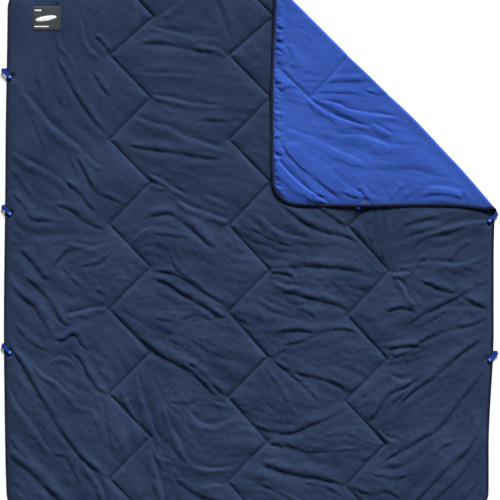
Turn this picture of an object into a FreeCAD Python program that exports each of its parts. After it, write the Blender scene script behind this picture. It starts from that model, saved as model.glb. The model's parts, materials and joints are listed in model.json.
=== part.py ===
"""Quilted camp blanket, laid flat with its upper right corner folded over.

Frame: millimetres, +Z up, +Y towards the blanket's upper edge. The origin is on the
ground under the middle of the blanket. The blanket is a lining and a shell with
padding between them, closed by a bound hem that carries six snap loops. The fold runs
at 45 degrees, so the corner beyond it is made flat and mirrored across the fold line.
"""

import FreeCAD, Part

import math
import os

import Sketcher

Vector = FreeCAD.Vector

# ---------------------------------------------------------------- driving dimensions
DIMENSIONS = {
    "blanket_width": 1830.0,
    "blanket_length": 1980.0,
    "corner_radius": 83.0,
    "loft": 11.0,  # lining, padding and shell together
    "cloth": 0.6,  # thickness of the shell and of the lining
    "hem_margin": 24.0,  # the outer strip that has no padding
    "seam_height": 2.8,  # where shell and lining meet in the hem
    "crown_run": 20.0,  # how far in from the hem the padding reaches its full height
    "keel_run": 6.0,
    "edge_wall": 0.2,  # upright rim left between the padding's two slopes
    "binding_width": 10.0,
    "binding_cloth": 0.8,
    "fold_sum": 1080.0,  # X + Y all along the fold line
    "flap_gap": 6.4,  # between the blanket's face and the folded corner
    "quilt_pitch": 449.0,  # between the three zigzag seams
    "quilt_swing": 154.0,  # width of one zigzag
    "quilt_step": 158.75,  # half a period along the blanket
    "quilt_top": 1046.3,  # Y of the first left turning point, past the upper edge
    "thread_width": 2.0,
    "thread_height": 0.5,
    "label_width": 105.0,
    "label_height": 90.0,
    "label_thick": 0.8,
    "label_x": -766.0,
    "label_y": 865.0,
    "label_seam_inset": 3.0,
    "ribbon_width": 12.0,
    "ribbon_thick": 1.2,
    "ribbon_reach": 12.0,  # from the binding's edge to the ribbon's crease
    "ribbon_tuck": 8.8,  # caught in the binding
    "loop_gap": 4.8,  # clear height inside a loop
    "snap_along": 39.6,  # from the crease to the snap, along the strap
    "strap_end": 8.0,  # strap left past the snap's middle
    "snap_radius": 5.2,
    "cap_height": 2.0,
    "rivet_radius": 1.6,
    "stud_flange": 1.0,
    "stud_radius": 2.0,
    "stud_head": 3.8,  # stud's height over the shell
    "socket_depth": 2.8,
    "socket_plate": 0.8,
    "socket_clearance": 0.2,
    "ring_thick": 1.2,
    "ring_hole": 3.1,
    "prong_radius": 0.4,
    "prong_circle": 4.1,
    "prong_bite": 0.6,  # how far a prong goes into the stud's flange
}
PRONGS = 5
ZIGZAGS = (("left", -1), ("centre", 0), ("right", 1))

# Each loop: its name, the side it is sewn to and where along that side, Y.
LOOPS = (
    ("left_upper", -1, 674.0),
    ("left_middle", -1, 162.0),
    ("left_lower", -1, -358.0),
    ("right_middle", 1, 136.0),
    ("right_lower", 1, -386.0),
)
CORNER_LOOP_Y = 676.0  # where the sixth loop is on the right side when the corner lies flat

SLANT = math.radians(45.0)  # the strap runs back over the edge at this angle
HALF_ROOT = math.sqrt(0.5)

doc = FreeCAD.newDocument("camp_blanket")
sheet = doc.addObject("Spreadsheet::Sheet", "sizes")
for row, (alias, number) in enumerate(DIMENSIONS.items(), 1):
    sheet.set(f"A{row}", alias)
    sheet.set(f"B{row}", str(number))
    sheet.setAlias(f"B{row}", alias)
doc.recompute()


class Size:
    """A length: its value, and the sheet expression that it is bound with."""

    def __init__(self, value, text=None):
        self.value = value
        self.text = text or repr(value)

    def _with(self, other, sign, result):
        other = other if isinstance(other, Size) else Size(other)
        return Size(result(self.value, other.value), f"({self.text} {sign} {other.text})")

    def __add__(self, other):
        return self._with(other, "+", lambda a, b: a + b)

    def __sub__(self, other):
        return self._with(other, "-", lambda a, b: a - b)

    def __mul__(self, other):
        return self._with(other, "*", lambda a, b: a * b)

    def __neg__(self):
        return Size(-1.0) * self


def size(alias):
    return Size(float(sheet.get(alias)), f"sizes.{alias}")


ZERO = Size(0.0)
half_width = size("blanket_width") * 0.5
half_length = size("blanket_length") * 0.5
cloth = size("cloth")
loft = size("loft")
seam = size("seam_height")
hem = size("hem_margin")
flange = size("binding_cloth")
flap_base = loft + size("flap_gap")
fold_height = loft + size("flap_gap") * 0.5
FOLD_OUT = Vector(HALF_ROOT, HALF_ROOT, 0)  # across the fold line, away from the middle
FOLD_ALONG = Vector(-HALF_ROOT, HALF_ROOT, 0)


def bind(thing, name, length):
    thing.setExpression(name, length.text)


# ---------------------------------------------------------------- sketch and body helpers
def new_body(name):
    return doc.addObject("PartDesign::Body", name)


def plane_of(body, role):
    return next(f for f in body.Origin.OriginFeatures if f.Role == role)


def add_outline(sketch, points):
    """Close a polygon of lines through points, each a pair of Sizes measured from the origin."""
    first = sketch.GeometryCount
    count = len(points)
    corners = [Vector(x.value, y.value, 0) for x, y in points]
    for i in range(count):
        sketch.addGeometry(Part.LineSegment(corners[i], corners[(i + 1) % count]), False)
    for i in range(count):
        follower = first + (i + 1) % count
        sketch.addConstraint(Sketcher.Constraint("Coincident", first + i, 2, follower, 1))
    for i, (x, y) in enumerate(points):
        for kind, length in (("DistanceX", x), ("DistanceY", y)):
            made = sketch.addConstraint(
                Sketcher.Constraint(kind, -1, 1, first + i, 1, length.value)
            )
            sketch.setExpression(f"Constraints[{made}]", length.text)


def new_sketch(body, name, role, outlines, lift=None):
    sketch = body.newObject("Sketcher::SketchObject", name)
    sketch.AttachmentSupport = (plane_of(body, role), [""])
    sketch.MapMode = "FlatFace"
    if lift is not None:
        sketch.setExpression("AttachmentOffset.Base.z", lift.text)
    for points in outlines:
        add_outline(sketch, points)
    return sketch


def pad_body(name, outlines, bottom, height):
    """A body padded up from the height bottom."""
    body = new_body(name)
    sketch = new_sketch(body, name + "_outline", "XY_Plane", outlines, bottom)
    pad = body.newObject("PartDesign::Pad", name + "_pad")
    pad.Profile = sketch
    bind(pad, "Length", height)
    sketch.Visibility = False
    body.Tip = pad
    return body


def turned_body(name, profile):
    """A body turned about its own Z from a profile in X and Z."""
    body = new_body(name)
    sketch = new_sketch(body, name + "_profile", "XZ_Plane", [profile])
    turn = body.newObject("PartDesign::Revolution", name + "_turn")
    turn.Profile = sketch
    turn.ReferenceAxis = (sketch, ["V_Axis"])
    turn.Angle = 360
    body.Tip = turn
    return body


def rectangle(half_x, half_y, x=ZERO, y=ZERO):
    return [
        (x - half_x, y - half_y),
        (x + half_x, y - half_y),
        (x + half_x, y + half_y),
        (x - half_x, y + half_y),
    ]


def edges_where(shape, wanted):
    return [f"Edge{i}" for i, edge in enumerate(shape.Edges, 1) if wanted(edge.BoundBox)]


def has_level(shape, height, inset):
    """True if the shape has a level face at this height, inset this far from the outline."""
    width = 2 * (half_width.value - inset.value)
    boxes = [f.BoundBox for f in shape.Faces]
    return any(
        b.ZLength < 1e-4 and abs(b.ZMax - height) < 1e-4 and abs(b.XLength - width) < 0.01
        for b in boxes
    )


def slab(name, inset, bottom, height, top_slope=None, bottom_slope=None):
    """The blanket's rounded outline, inset and padded, with sloping edges if asked."""
    body = pad_body(name, [rectangle(half_width - inset, half_length - inset)], bottom, height)
    doc.recompute()
    pad = body.Tip
    fillet = body.newObject("PartDesign::Fillet", name + "_corners")
    fillet.Base = (pad, edges_where(pad.Shape, lambda b: b.ZLength > 0.9 * height.value))
    bind(fillet, "Radius", size("corner_radius") - inset)
    body.Tip = fillet
    for tag, slope, at in (
        ("top", top_slope, bottom.value + height.value),
        ("bottom", bottom_slope, bottom.value),
    ):
        if slope is None:
            continue
        doc.recompute()
        base = body.Tip
        run, rise = slope
        ring = edges_where(
            base.Shape, lambda b: abs(b.ZMin - at) < 1e-4 and abs(b.ZMax - at) < 1e-4
        )
        chamfer = body.newObject("PartDesign::Chamfer", f"{name}_{tag}_slope")
        chamfer.Base = (base, ring)
        chamfer.ChamferType = "Two distances"
        bind(chamfer, "Size", run)
        bind(chamfer, "Size2", rise)
        doc.recompute()
        if "Invalid" in chamfer.State or not has_level(chamfer.Shape, at, inset + run):
            chamfer.FlipDirection = True
        body.Tip = chamfer
    return body


def boolean(kind, name, base, tool):
    made = doc.addObject(f"Part::{kind}", name)
    made.Base = base
    made.Tool = tool
    return made


def fused(name, pieces):
    made = doc.addObject("Part::MultiFuse", name)
    made.Shapes = pieces
    return made


def lift_body(body, height):
    bind(body, "Placement.Base.z", height)


# ---------------------------------------------------------------- layers of the blanket
def layers(tag, base):
    """The whole blanket's layers, uncut, on the height base: padding, skins and binding."""
    crown_rise = loft - cloth - seam - size("edge_wall") * 0.5
    keel_rise = seam - cloth - size("edge_wall") * 0.5
    top = (size("crown_run"), crown_rise)
    bottom = (size("keel_run"), keel_rise)
    padding = slab(tag + "_padding", hem, cloth, loft - cloth - cloth, top, bottom)
    crown = slab(
        tag + "_crown", hem, seam, loft - seam, (size("crown_run"), loft - seam - cloth)
    )
    keel = slab(tag + "_keel", hem, ZERO, seam, None, (size("keel_run"), seam - cloth))
    margins = {
        "upper": slab(tag + "_upper_margin", flange, seam, cloth),
        "lower": slab(tag + "_lower_margin", flange, seam - cloth, cloth),
    }
    edge = seam - cloth - flange
    bound = slab(tag + "_bound_edge", ZERO, edge, (cloth + flange) * 2.0)
    slot = slab(tag + "_binding_slot", flange, seam - cloth, cloth * 2.0)
    window = slab(
        tag + "_binding_window", size("binding_width"), edge, (cloth + flange) * 2.0
    )
    stitch_top = seam + cloth + flange
    stitch_outer = slab(
        tag + "_stitch_outer", size("binding_width") - 3.5, stitch_top, size("thread_height")
    )
    stitch_inner = slab(
        tag + "_stitch_inner", size("binding_width") - 2.5, stitch_top, size("thread_height")
    )
    for body in (
        padding, crown, keel, bound, slot, window, stitch_outer, stitch_inner,
        *margins.values(),
    ):
        lift_body(body, base)
    upper = fused(tag + "_upper_whole", [crown, margins["upper"]])
    lower = fused(tag + "_lower_whole", [keel, margins["lower"]])
    channel = boolean("Cut", tag + "_channel", bound, slot)
    return {
        "padding": padding,
        "upper": boolean("Cut", tag + "_upper_skin", upper, padding),
        "lower": boolean("Cut", tag + "_lower_skin", lower, padding),
        "binding": boolean("Cut", tag + "_binding", channel, window),
        "binding_stitch": boolean("Cut", tag + "_binding_stitch", stitch_outer, stitch_inner),
    }


def zigzag(name, column, height):
    """One quilting seam's thread, from edge to edge of the blanket."""
    across = size("quilt_pitch") * float(column)
    reach = half_length - hem - size("crown_run")
    half_thread = size("thread_width") * (0.5 / HALF_ROOT)
    half_swing = size("quilt_swing") * 0.5
    slope = size("quilt_swing").value / size("quilt_step").value
    turns = []
    steps = math.ceil((size("quilt_top").value + reach.value) / size("quilt_step").value)
    for i in range(steps):
        y = size("quilt_top") - size("quilt_step") * float(i)
        if abs(y.value) < reach.value:
            turns.append((half_swing * (1.0 if i % 2 else -1.0), y))
    ends = []
    for (x, y), limit in ((turns[0], reach), (turns[-1], -reach)):
        run = (limit - y) if limit.value > 0 else (y - limit)
        inward = -1.0 if x.value > 0 else 1.0
        ends.append((x + run * (slope * inward), limit))
    line = [ends[0], *turns, ends[1]]
    right = [(across + x + half_thread, y) for x, y in line]
    left = [(across + x - half_thread, y) for x, y in reversed(line)]
    return pad_body(name, [right + left], height, size("thread_height"))


# ---------------------------------------------------------------- cutting at the fold
TOOL_SIZE = 2600.0
corner_tool = doc.addObject("Part::Box", "corner_tool")
corner_tool.Length = TOOL_SIZE
corner_tool.Width = TOOL_SIZE
corner_tool.Height = 200
corner_tool.Placement = FreeCAD.Placement(
    Vector(0, 0, 0), FreeCAD.Rotation(Vector(0, 0, 1), 45)
)
across_tool = TOOL_SIZE / 2 * HALF_ROOT
bind(corner_tool, "Placement.Base.x", size("fold_sum") * 0.5 + across_tool)
bind(corner_tool, "Placement.Base.y", size("fold_sum") * 0.5 - across_tool)
corner_tool.Placement.Base.z = -50


def main_part(name, whole):
    return boolean("Cut", name, whole, corner_tool)


def corner_part(name, whole):
    """The corner beyond the fold line, mirrored across it."""
    flat = boolean("Common", name + "_flat", whole, corner_tool)
    mirrored = doc.addObject("Part::Mirroring", name)
    mirrored.Source = flat
    mirrored.Normal = FOLD_OUT
    bind(mirrored, "Base.x", size("fold_sum") * 0.5)
    bind(mirrored, "Base.y", size("fold_sum") * 0.5)
    return mirrored


# ---------------------------------------------------------------- snap loops
def crease_way(side):
    """The unit vector along a loop's crease, in the loop's own frame."""
    half = SLANT / 2
    return Vector(-math.sin(half), side * math.cos(half), 0)


def snap_loop(name, placement, side):
    """One loop's pieces. Its own frame: +X out of the blanket's edge, side * Y up it."""
    half = size("ribbon_width") * 0.5
    reach = size("ribbon_reach")
    thick = size("ribbon_thick")
    low = seam - cloth
    high = low + thick
    strap_low = high + size("loop_gap")
    skew = half * math.tan(SLANT / 2)
    way_x, way_y = -math.cos(SLANT), -side * math.sin(SLANT)
    snap_x = reach + size("snap_along") * way_x
    snap_y = size("snap_along") * way_y
    near = (reach - skew, half * float(side))
    far = (reach + skew, half * -float(side))

    root = pad_body(
        f"loop_root_{name}",
        [[(-size("ribbon_tuck"), near[1]), near, far, (-size("ribbon_tuck"), far[1])]],
        low,
        thick,
    )

    end = size("snap_along") + size("strap_end")
    ends = [
        (reach + end * way_x - half * (way_y * turn), end * way_y + half * (way_x * turn))
        for turn in (float(side), -float(side))
    ]
    strap_blank = pad_body(f"strap_blank_{name}", [[near, far, ends[0], ends[1]]], strap_low, thick)

    along = crease_way(side)
    axis_height = high + size("loop_gap") * 0.5
    length = size("ribbon_width") * (1 / math.cos(SLANT / 2))
    rolls = []
    for tag, radius in (("outer", size("loop_gap") * 0.5 + thick), ("inner", size("loop_gap") * 0.5)):
        roll = doc.addObject("Part::Cylinder", f"turn_{tag}_{name}")
        roll.Angle = 180
        bind(roll, "Radius", radius)
        bind(roll, "Height", length)
        start = Vector(reach.value, 0, axis_height.value) - along * (length.value / 2)
        up = Vector(0, 0, 1) if side > 0 else Vector(0, 0, -1)
        spin = FreeCAD.Rotation(up, along.cross(up), along, "ZXY")
        roll.Placement = FreeCAD.Placement(start, spin)
        rolls.append(roll)
    turn = boolean("Cut", f"loop_turn_{name}", rolls[0], rolls[1])

    radius = size("snap_radius")
    rivet = size("rivet_radius")
    plate_low = strap_low - size("socket_plate")
    cap_base = strap_low + thick
    cap_top = cap_base + size("cap_height")
    cap = turned_body(
        f"snap_cap_{name}",
        [
            (ZERO, plate_low),
            (rivet, plate_low),
            (rivet, cap_base),
            (radius, cap_base),
            (radius, cap_base + 0.7),
            (radius * 0.62, cap_top),
            (ZERO, cap_top),
        ],
    )
    bore = size("stud_radius") + size("socket_clearance")
    socket_low = strap_low - size("socket_depth")
    socket = turned_body(
        f"snap_socket_{name}",
        [
            (rivet, strap_low),
            (rivet, plate_low),
            (bore, plate_low),
            (bore, socket_low),
            (radius * 0.75, socket_low),
            (radius * 0.95, plate_low),
            (radius * 0.95, strap_low),
        ],
    )
    shell_top = seam + cloth
    flange_top = shell_top + size("stud_flange")
    head_top = shell_top + size("stud_head")
    stud_blank = turned_body(
        f"stud_blank_{name}",
        [
            (ZERO, shell_top),
            (radius * 0.95, shell_top),
            (radius * 0.95, flange_top - 0.4),
            (size("stud_radius"), flange_top),
            (size("stud_radius"), head_top - 0.6),
            (size("stud_radius") - 0.6, head_top),
            (ZERO, head_top),
        ],
    )
    ring_top = seam - cloth
    ring_low = ring_top - size("ring_thick")
    ring_flat = turned_body(
        f"ring_flat_{name}",
        [
            (size("ring_hole"), ring_top),
            (size("ring_hole"), ring_low + 0.4),
            (size("ring_hole") + 0.4, ring_low),
            (radius - 0.4, ring_low),
            (radius, ring_low + 0.4),
            (radius, ring_top),
        ],
    )
    prongs = []
    for i in range(PRONGS):
        angle = 2 * math.pi * i / PRONGS
        prong = doc.addObject("Part::Cylinder", f"prong_{i}_{name}")
        bind(prong, "Radius", size("prong_radius"))
        bind(prong, "Height", size("ring_thick") * 0.5 + cloth * 2.0 + size("prong_bite"))
        bind(prong, "Placement.Base.x", snap_x + size("prong_circle") * math.cos(angle))
        bind(prong, "Placement.Base.y", snap_y + size("prong_circle") * math.sin(angle))
        bind(prong, "Placement.Base.z", ring_top - size("ring_thick") * 0.5)
        prongs.append(prong)
    for body in (cap, socket, stud_blank, ring_flat):
        bind(body, "Placement.Base.x", snap_x)
        bind(body, "Placement.Base.y", snap_y)
    doc.recompute()
    for thing in (root, strap_blank, cap, socket, stud_blank, ring_flat, *rolls, *prongs):
        local = thing.Placement
        for way in ("x", "y", "z"):
            thing.setExpression(f"Placement.Base.{way}", None)
        thing.Placement = placement.multiply(local)
    ring = fused(f"snap_ring_{name}", [ring_flat, *prongs])
    stud = boolean("Cut", f"snap_stud_{name}", stud_blank, ring)
    strap = boolean("Cut", f"loop_strap_{name}", strap_blank, cap)
    return {
        "root": root,
        "turn": turn,
        "strap": strap,
        "cap": cap,
        "socket": socket,
        "stud": stud,
        "ring": ring,
    }


def edge_placement(side, y):
    """A loop's frame on the right (1) or left (-1) edge."""
    spin = FreeCAD.Rotation(Vector(0, 0, 1), 0 if side > 0 else 180)
    return FreeCAD.Placement(Vector(side * half_width.value, y, 0), spin)


def folded_placement(flat):
    """A frame on the flat corner, carried over with it by half a turn about the fold."""
    middle = Vector(size("fold_sum").value / 2, size("fold_sum").value / 2, 0)
    middle.z = (flap_base.value + 2 * seam.value) / 2
    turn = FreeCAD.Rotation(FOLD_ALONG, 180)
    over = FreeCAD.Placement(middle - turn.multVec(middle), turn)
    return over.multiply(flat)


loops = {
    name: snap_loop(name, edge_placement(side, y), side) for name, side, y in LOOPS
}
corner_loop = snap_loop(
    "right_upper", folded_placement(edge_placement(1, CORNER_LOOP_Y)), 1
)


def pieces_of(loop_set, *kinds):
    return [loop[kind] for loop in loop_set for kind in kinds]


# ---------------------------------------------------------------- the pieces themselves
nodes = {}

blanket = layers("blanket", ZERO)
sewn_in = fused("sewn_in", pieces_of(loops.values(), "root", "ring"))
nodes["insulation_batt"] = main_part("main_batt", blanket["padding"])
nodes["binding_stitching"] = main_part("main_binding_stitch", blanket["binding_stitch"])
for node, layer in (
    ("shell_panel", "upper"),
    ("lining_panel", "lower"),
    ("edge_binding", "binding"),
):
    nodes[node] = boolean(
        "Cut", node + "_pierced", main_part(node + "_main", blanket[layer]), sewn_in
    )

corner = layers("corner", flap_base)
corner_sewn_in = fused("corner_sewn_in", pieces_of([corner_loop], "root", "ring"))
nodes["corner_batt"] = corner_part("folded_batt", corner["padding"])
nodes["corner_binding_stitching"] = corner_part("folded_stitch", corner["binding_stitch"])
for node, layer in (
    ("corner_lining", "upper"),
    ("corner_shell", "lower"),
    ("corner_binding", "binding"),
):
    nodes[node] = boolean(
        "Cut", node + "_pierced", corner_part(node + "_folded", corner[layer]), corner_sewn_in
    )

for tag, column in ZIGZAGS:
    thread = zigzag(f"thread_{tag}", column, loft)
    nodes[f"quilt_stitching_{tag}"] = main_part(f"main_thread_{tag}", thread)
corner_thread = zigzag("thread_corner", 1, flap_base + loft)
nodes["corner_quilt_stitching"] = corner_part("folded_thread", corner_thread)

label_x, label_y = size("label_x"), size("label_y")
label_half = (size("label_width") * 0.5, size("label_height") * 0.5)
nodes["woven_label"] = pad_body(
    "label", [rectangle(*label_half, label_x, label_y)], loft, size("label_thick")
)
seam_inset = size("label_seam_inset")
nodes["label_stitching"] = pad_body(
    "label_seam",
    [
        rectangle(label_half[0] - inset, label_half[1] - inset, label_x, label_y)
        for inset in (seam_inset, seam_inset + size("thread_width") * 0.5)
    ],
    loft + size("label_thick"),
    size("thread_height"),
)


def roll_at(name, centre_height, outer, inner, start, length):
    """Half a tube along the fold line: start and length are measured from its right end."""
    right_end = Vector(half_width.value, size("fold_sum").value - half_width.value, 0)
    spin = FreeCAD.Rotation(Vector(0, 0, 1), FOLD_OUT, FOLD_ALONG, "ZXY")
    place = right_end + FOLD_ALONG * start.value
    place.z = centre_height.value
    halves = []
    for tag, radius in (("outer", outer), ("inner", inner)):
        half = doc.addObject("Part::Cylinder", f"{name}_{tag}")
        half.Angle = 180
        bind(half, "Radius", radius)
        bind(half, "Height", length)
        half.Placement = FreeCAD.Placement(place, spin)
        halves.append(half)
    return boolean("Cut", name, *halves)


fold_length = (half_width + half_length - size("fold_sum")) * (1 / HALF_ROOT)
hem_end = hem * (1 / HALF_ROOT)
half_gap = size("flap_gap") * 0.5
for node, outer, inner in (
    ("fold_shell", half_gap + cloth, half_gap),
    ("fold_batt", half_gap + loft - cloth, half_gap + cloth),
    ("fold_lining", half_gap + loft, half_gap + loft - cloth),
):
    nodes[node] = roll_at(
        node + "_roll", fold_height, outer, inner, hem_end, fold_length - hem_end * 2.0
    )
binding_half = cloth + flange
bend_radius = flap_base * 0.5
bend_length = size("binding_width") * (1 / HALF_ROOT)
bends = [
    roll_at(
        f"binding_bend_{tag}",
        seam + bend_radius,
        bend_radius + binding_half,
        bend_radius - binding_half,
        start,
        bend_length,
    )
    for tag, start in (("right", ZERO), ("top", fold_length - bend_length))
]
outline_box = doc.addObject("Part::Box", "outline_box")
bind(outline_box, "Length", size("blanket_width"))
bind(outline_box, "Width", size("blanket_length"))
bind(outline_box, "Height", flap_base + loft)
bind(outline_box, "Placement.Base.x", -half_width)
bind(outline_box, "Placement.Base.y", -half_length)
nodes["fold_binding"] = boolean(
    "Common", "fold_binding_bends", fused("whole_bends", bends), outline_box
)

for name, _, _ in LOOPS:
    for kind in ("root", "turn", "strap"):
        nodes[f"loop_{kind}_{name}"] = loops[name][kind]
    for kind in ("cap", "socket"):
        nodes[f"snap_{kind}_{name}"] = loops[name][kind]
for kind in ("stud", "ring"):
    group = doc.addObject("Part::Compound", f"snap_{kind}s_group")
    group.Links = pieces_of(loops.values(), kind)
    nodes[f"snap_{kind}s"] = group
for kind in ("root", "turn", "strap"):
    nodes[f"corner_loop_{kind}"] = corner_loop[kind]
for kind in ("cap", "socket", "stud", "ring"):
    nodes[f"corner_snap_{kind}"] = corner_loop[kind]

# ---------------------------------------------------------------- check and write
doc.recompute()
for thing in doc.Objects:
    failed = [state for state in thing.State if state in ("Invalid", "Error")]
    if failed:
        raise RuntimeError(f"{thing.Name} failed to build: {failed}")
for label, thing in nodes.items():
    for other in doc.Objects:
        if other is not thing and other.Label == label:
            other.Label = label + "_blank"
    thing.Label = label
    if thing.Shape.isNull() or not thing.Shape.isValid() or not thing.Shape.Solids:
        raise RuntimeError(f"{label} has no valid shape")

os.makedirs("parts", exist_ok=True)
for label, thing in nodes.items():
    thing.Shape.exportStep(f"parts/{label}.step")
total = sum(thing.Shape.Volume for thing in nodes.values())
print(f"{len(nodes)} nodes, {total / 1e9:.4f} m3 in all")
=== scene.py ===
import json
import math

import bpy
import numpy as np
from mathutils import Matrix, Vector


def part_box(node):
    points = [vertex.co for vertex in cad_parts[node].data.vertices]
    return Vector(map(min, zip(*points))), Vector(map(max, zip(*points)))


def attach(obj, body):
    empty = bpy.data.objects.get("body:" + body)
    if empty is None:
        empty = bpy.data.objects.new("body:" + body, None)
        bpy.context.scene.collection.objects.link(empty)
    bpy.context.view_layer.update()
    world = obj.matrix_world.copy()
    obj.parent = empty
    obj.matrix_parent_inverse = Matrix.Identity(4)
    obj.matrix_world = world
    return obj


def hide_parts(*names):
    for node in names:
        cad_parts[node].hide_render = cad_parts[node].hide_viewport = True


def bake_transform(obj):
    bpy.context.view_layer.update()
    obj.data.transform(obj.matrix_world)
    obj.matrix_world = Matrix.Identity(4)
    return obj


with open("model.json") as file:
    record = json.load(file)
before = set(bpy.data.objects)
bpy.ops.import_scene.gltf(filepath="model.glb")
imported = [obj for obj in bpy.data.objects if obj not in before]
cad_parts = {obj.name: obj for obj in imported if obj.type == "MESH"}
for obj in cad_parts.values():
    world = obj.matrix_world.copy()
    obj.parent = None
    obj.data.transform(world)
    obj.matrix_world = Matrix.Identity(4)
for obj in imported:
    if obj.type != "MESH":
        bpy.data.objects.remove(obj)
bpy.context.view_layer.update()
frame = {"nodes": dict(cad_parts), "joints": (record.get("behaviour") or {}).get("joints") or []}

# A camp blanket, in metres. All cloth is shaped flat first, as (s, t, z) on the spread blanket,
# and then fold_over() turns the upper right corner over onto the blanket.

MM = 0.001
CM = 0.01
ROOT_TWO = math.sqrt(2)

# ---------------------------------------------------------------- sizes
binding_low, binding_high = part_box("edge_binding")
HALF_WIDTH = binding_high.x
HALF_LENGTH = binding_high.y
CORNER_RADIUS = 83 * MM
HEM_HEIGHT = (binding_low.z + binding_high.z) / 2
CLOTH = 0.6 * MM

JOINTS = {joint["name"]: joint for joint in frame["joints"]}
fold_joint = JOINTS["corner_fold"]["pos_m"]
flap_binding_low, flap_binding_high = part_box("corner_binding")
FLAP_BINDING_HEIGHT = (flap_binding_low.z + flap_binding_high.z) / 2

# The fold line is where s + t is FOLD_SUM. The cloth goes round the fold over FOLD_REACH to each side of
# it, measured flat, and the folded edge stands FOLD_START short of the line.
FOLD_SUM = fold_joint[0] + fold_joint[1]
FOLD_HEIGHT = fold_joint[2]
FOLD_REACH = 21 * MM
FOLD_START = 2.5 * MM
TIGHTEST_FOLD = 2.5 * MM
FLAP_HEM_HEIGHT = 2 * FOLD_HEIGHT - FLAP_BINDING_HEIGHT

# Each quilting line turns from side to side of its column, a step further down each time.
QUILT_COLUMNS = (-0.449, 0.0, 0.449)
QUILT_SWING = 77 * MM
QUILT_TOP = 1.0463
QUILT_STEP = 0.15875
QUILT_TURNS = 14
QUILT_END = 0.962

label_low, label_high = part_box("woven_label")

# Each loop that opens, and the side that it is on: -1 is the left and 1 is the right.
LOOPS = {
    "left_upper": -1,
    "left_middle": -1,
    "left_lower": -1,
    "right_middle": 1,
    "right_lower": 1,
}


# ---------------------------------------------------------------- small helpers
def smooth(x):
    """0 below 0, 1 above 1, and an even curve between."""
    x = np.clip(x, 0, 1)
    return x * x * (3 - 2 * x)


def bell(x, width):
    """1 at 0, falling away on both sides over that width."""
    return np.exp(-((x / width) ** 2))


def cad_point(node):
    """The middle of a CAD node."""
    low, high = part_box(node)
    return (low + high) / 2


def edge_distance(s, t):
    """How far inside the blanket's rounded outline a point is. Outside, it is negative."""
    over_s = np.abs(s) - (HALF_WIDTH - CORNER_RADIUS)
    over_t = np.abs(t) - (HALF_LENGTH - CORNER_RADIUS)
    outer = np.hypot(np.maximum(over_s, 0), np.maximum(over_t, 0))
    inner = np.minimum(np.maximum(over_s, over_t), 0)
    return CORNER_RADIUS - outer - inner


def onto_outline(s, t):
    """Moves points that lie just outside the outline back onto it."""
    over_s = np.maximum(np.abs(s) - (HALF_WIDTH - CORNER_RADIUS), 0)
    over_t = np.maximum(np.abs(t) - (HALF_LENGTH - CORNER_RADIUS), 0)
    length = np.maximum(np.hypot(over_s, over_t), 1e-9)
    outside = np.maximum(-edge_distance(s, t), 0)
    return (
        s - np.sign(s) * over_s / length * outside,
        t - np.sign(t) * over_t / length * outside,
    )


# ---------------------------------------------------------------- quilting lines
def seam_drift(x, y):
    """How far the sewn turning point near (x, y) is from the even pattern. The lines slip down towards the
    lower right, and back from the fold, whose crease follows one of them."""
    lower_right = smooth((x + 0.5) / 0.9) * smooth((0.35 - y) / 0.75)
    top_row = smooth((y - 0.75) / 0.12) * smooth((0.35 - x) / 0.2)
    past = (x + y - FOLD_SUM) / ROOT_TWO
    back = 18 * MM * smooth((past + 0.09) / 0.09) + 20 * MM * smooth(past / 0.2)
    slip_x = 13 * MM * smooth((x + 0.3) / 0.5) * smooth((0.3 - y) / 0.9)
    corner_turn = bell(x - 0.52, 0.12) * bell(y - 0.89, 0.12)
    shift_x = -slip_x - back / ROOT_TWO + 12 * MM * top_row + 13 * MM * corner_turn
    shift_y = -28 * MM * lower_right - back / ROOT_TWO - 14 * MM * top_row - 7 * MM * corner_turn
    return shift_x, shift_y


def zigzag(column):
    """The turning points of one quilting line, from the top edge to the bottom edge."""
    points = []
    for turn in range(QUILT_TURNS):
        side = -1 if turn % 2 == 0 else 1
        x = column + side * QUILT_SWING
        y = QUILT_TOP - turn * QUILT_STEP
        shift_x, shift_y = seam_drift(x, y)
        points.append((x + shift_x, y + shift_y))
    return points


def zigzag_pieces(column):
    """The straight pieces of one quilting line that lie on the blanket, as (start, end)."""
    points = zigzag(column)
    pieces = []
    for (x0, y0), (x1, y1) in zip(points, points[1:]):
        if y1 >= QUILT_END or y0 <= -QUILT_END:
            continue
        start = np.clip((y0 - QUILT_END) / (y0 - y1), 0, 1)
        end = np.clip((y0 + QUILT_END) / (y0 - y1), 0, 1)
        pieces.append((
            (x0 + (x1 - x0) * start, y0 + (y1 - y0) * start),
            (x0 + (x1 - x0) * end, y0 + (y1 - y0) * end),
        ))
    return pieces


ALL_SEAMS = [piece for column in QUILT_COLUMNS for piece in zigzag_pieces(column)]


def nearest_seam(s, t):
    """Distance to the nearest quilting line, its nearest point, and 1 where it runs down to the right."""
    best = np.full(s.shape, np.inf)
    near_s = s.copy()
    near_t = t.copy()
    falls = np.zeros(s.shape)
    for (x0, y0), (x1, y1) in ALL_SEAMS:
        span = (x1 - x0) ** 2 + (y1 - y0) ** 2
        share = np.clip(((s - x0) * (x1 - x0) + (t - y0) * (y1 - y0)) / span, 0, 1)
        foot_s = x0 + share * (x1 - x0)
        foot_t = y0 + share * (y1 - y0)
        distance = np.hypot(s - foot_s, t - foot_t)
        closer = distance < best
        best = np.where(closer, distance, best)
        near_s = np.where(closer, foot_s, near_s)
        near_t = np.where(closer, foot_t, near_t)
        falls = np.where(closer, float(x1 > x0), falls)
    return best, near_s, near_t, falls


# ---------------------------------------------------------------- the fold at the corner
def fold_reach(s, t):
    """How far past the fold line a flat point is."""
    return (s + t - FOLD_SUM) / ROOT_TWO


def fold_share(s, t):
    """0 on the blanket, 1 on the turned-over corner, even across the fold."""
    return np.clip((fold_reach(s, t) + FOLD_REACH) / (2 * FOLD_REACH), 0, 1)


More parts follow.
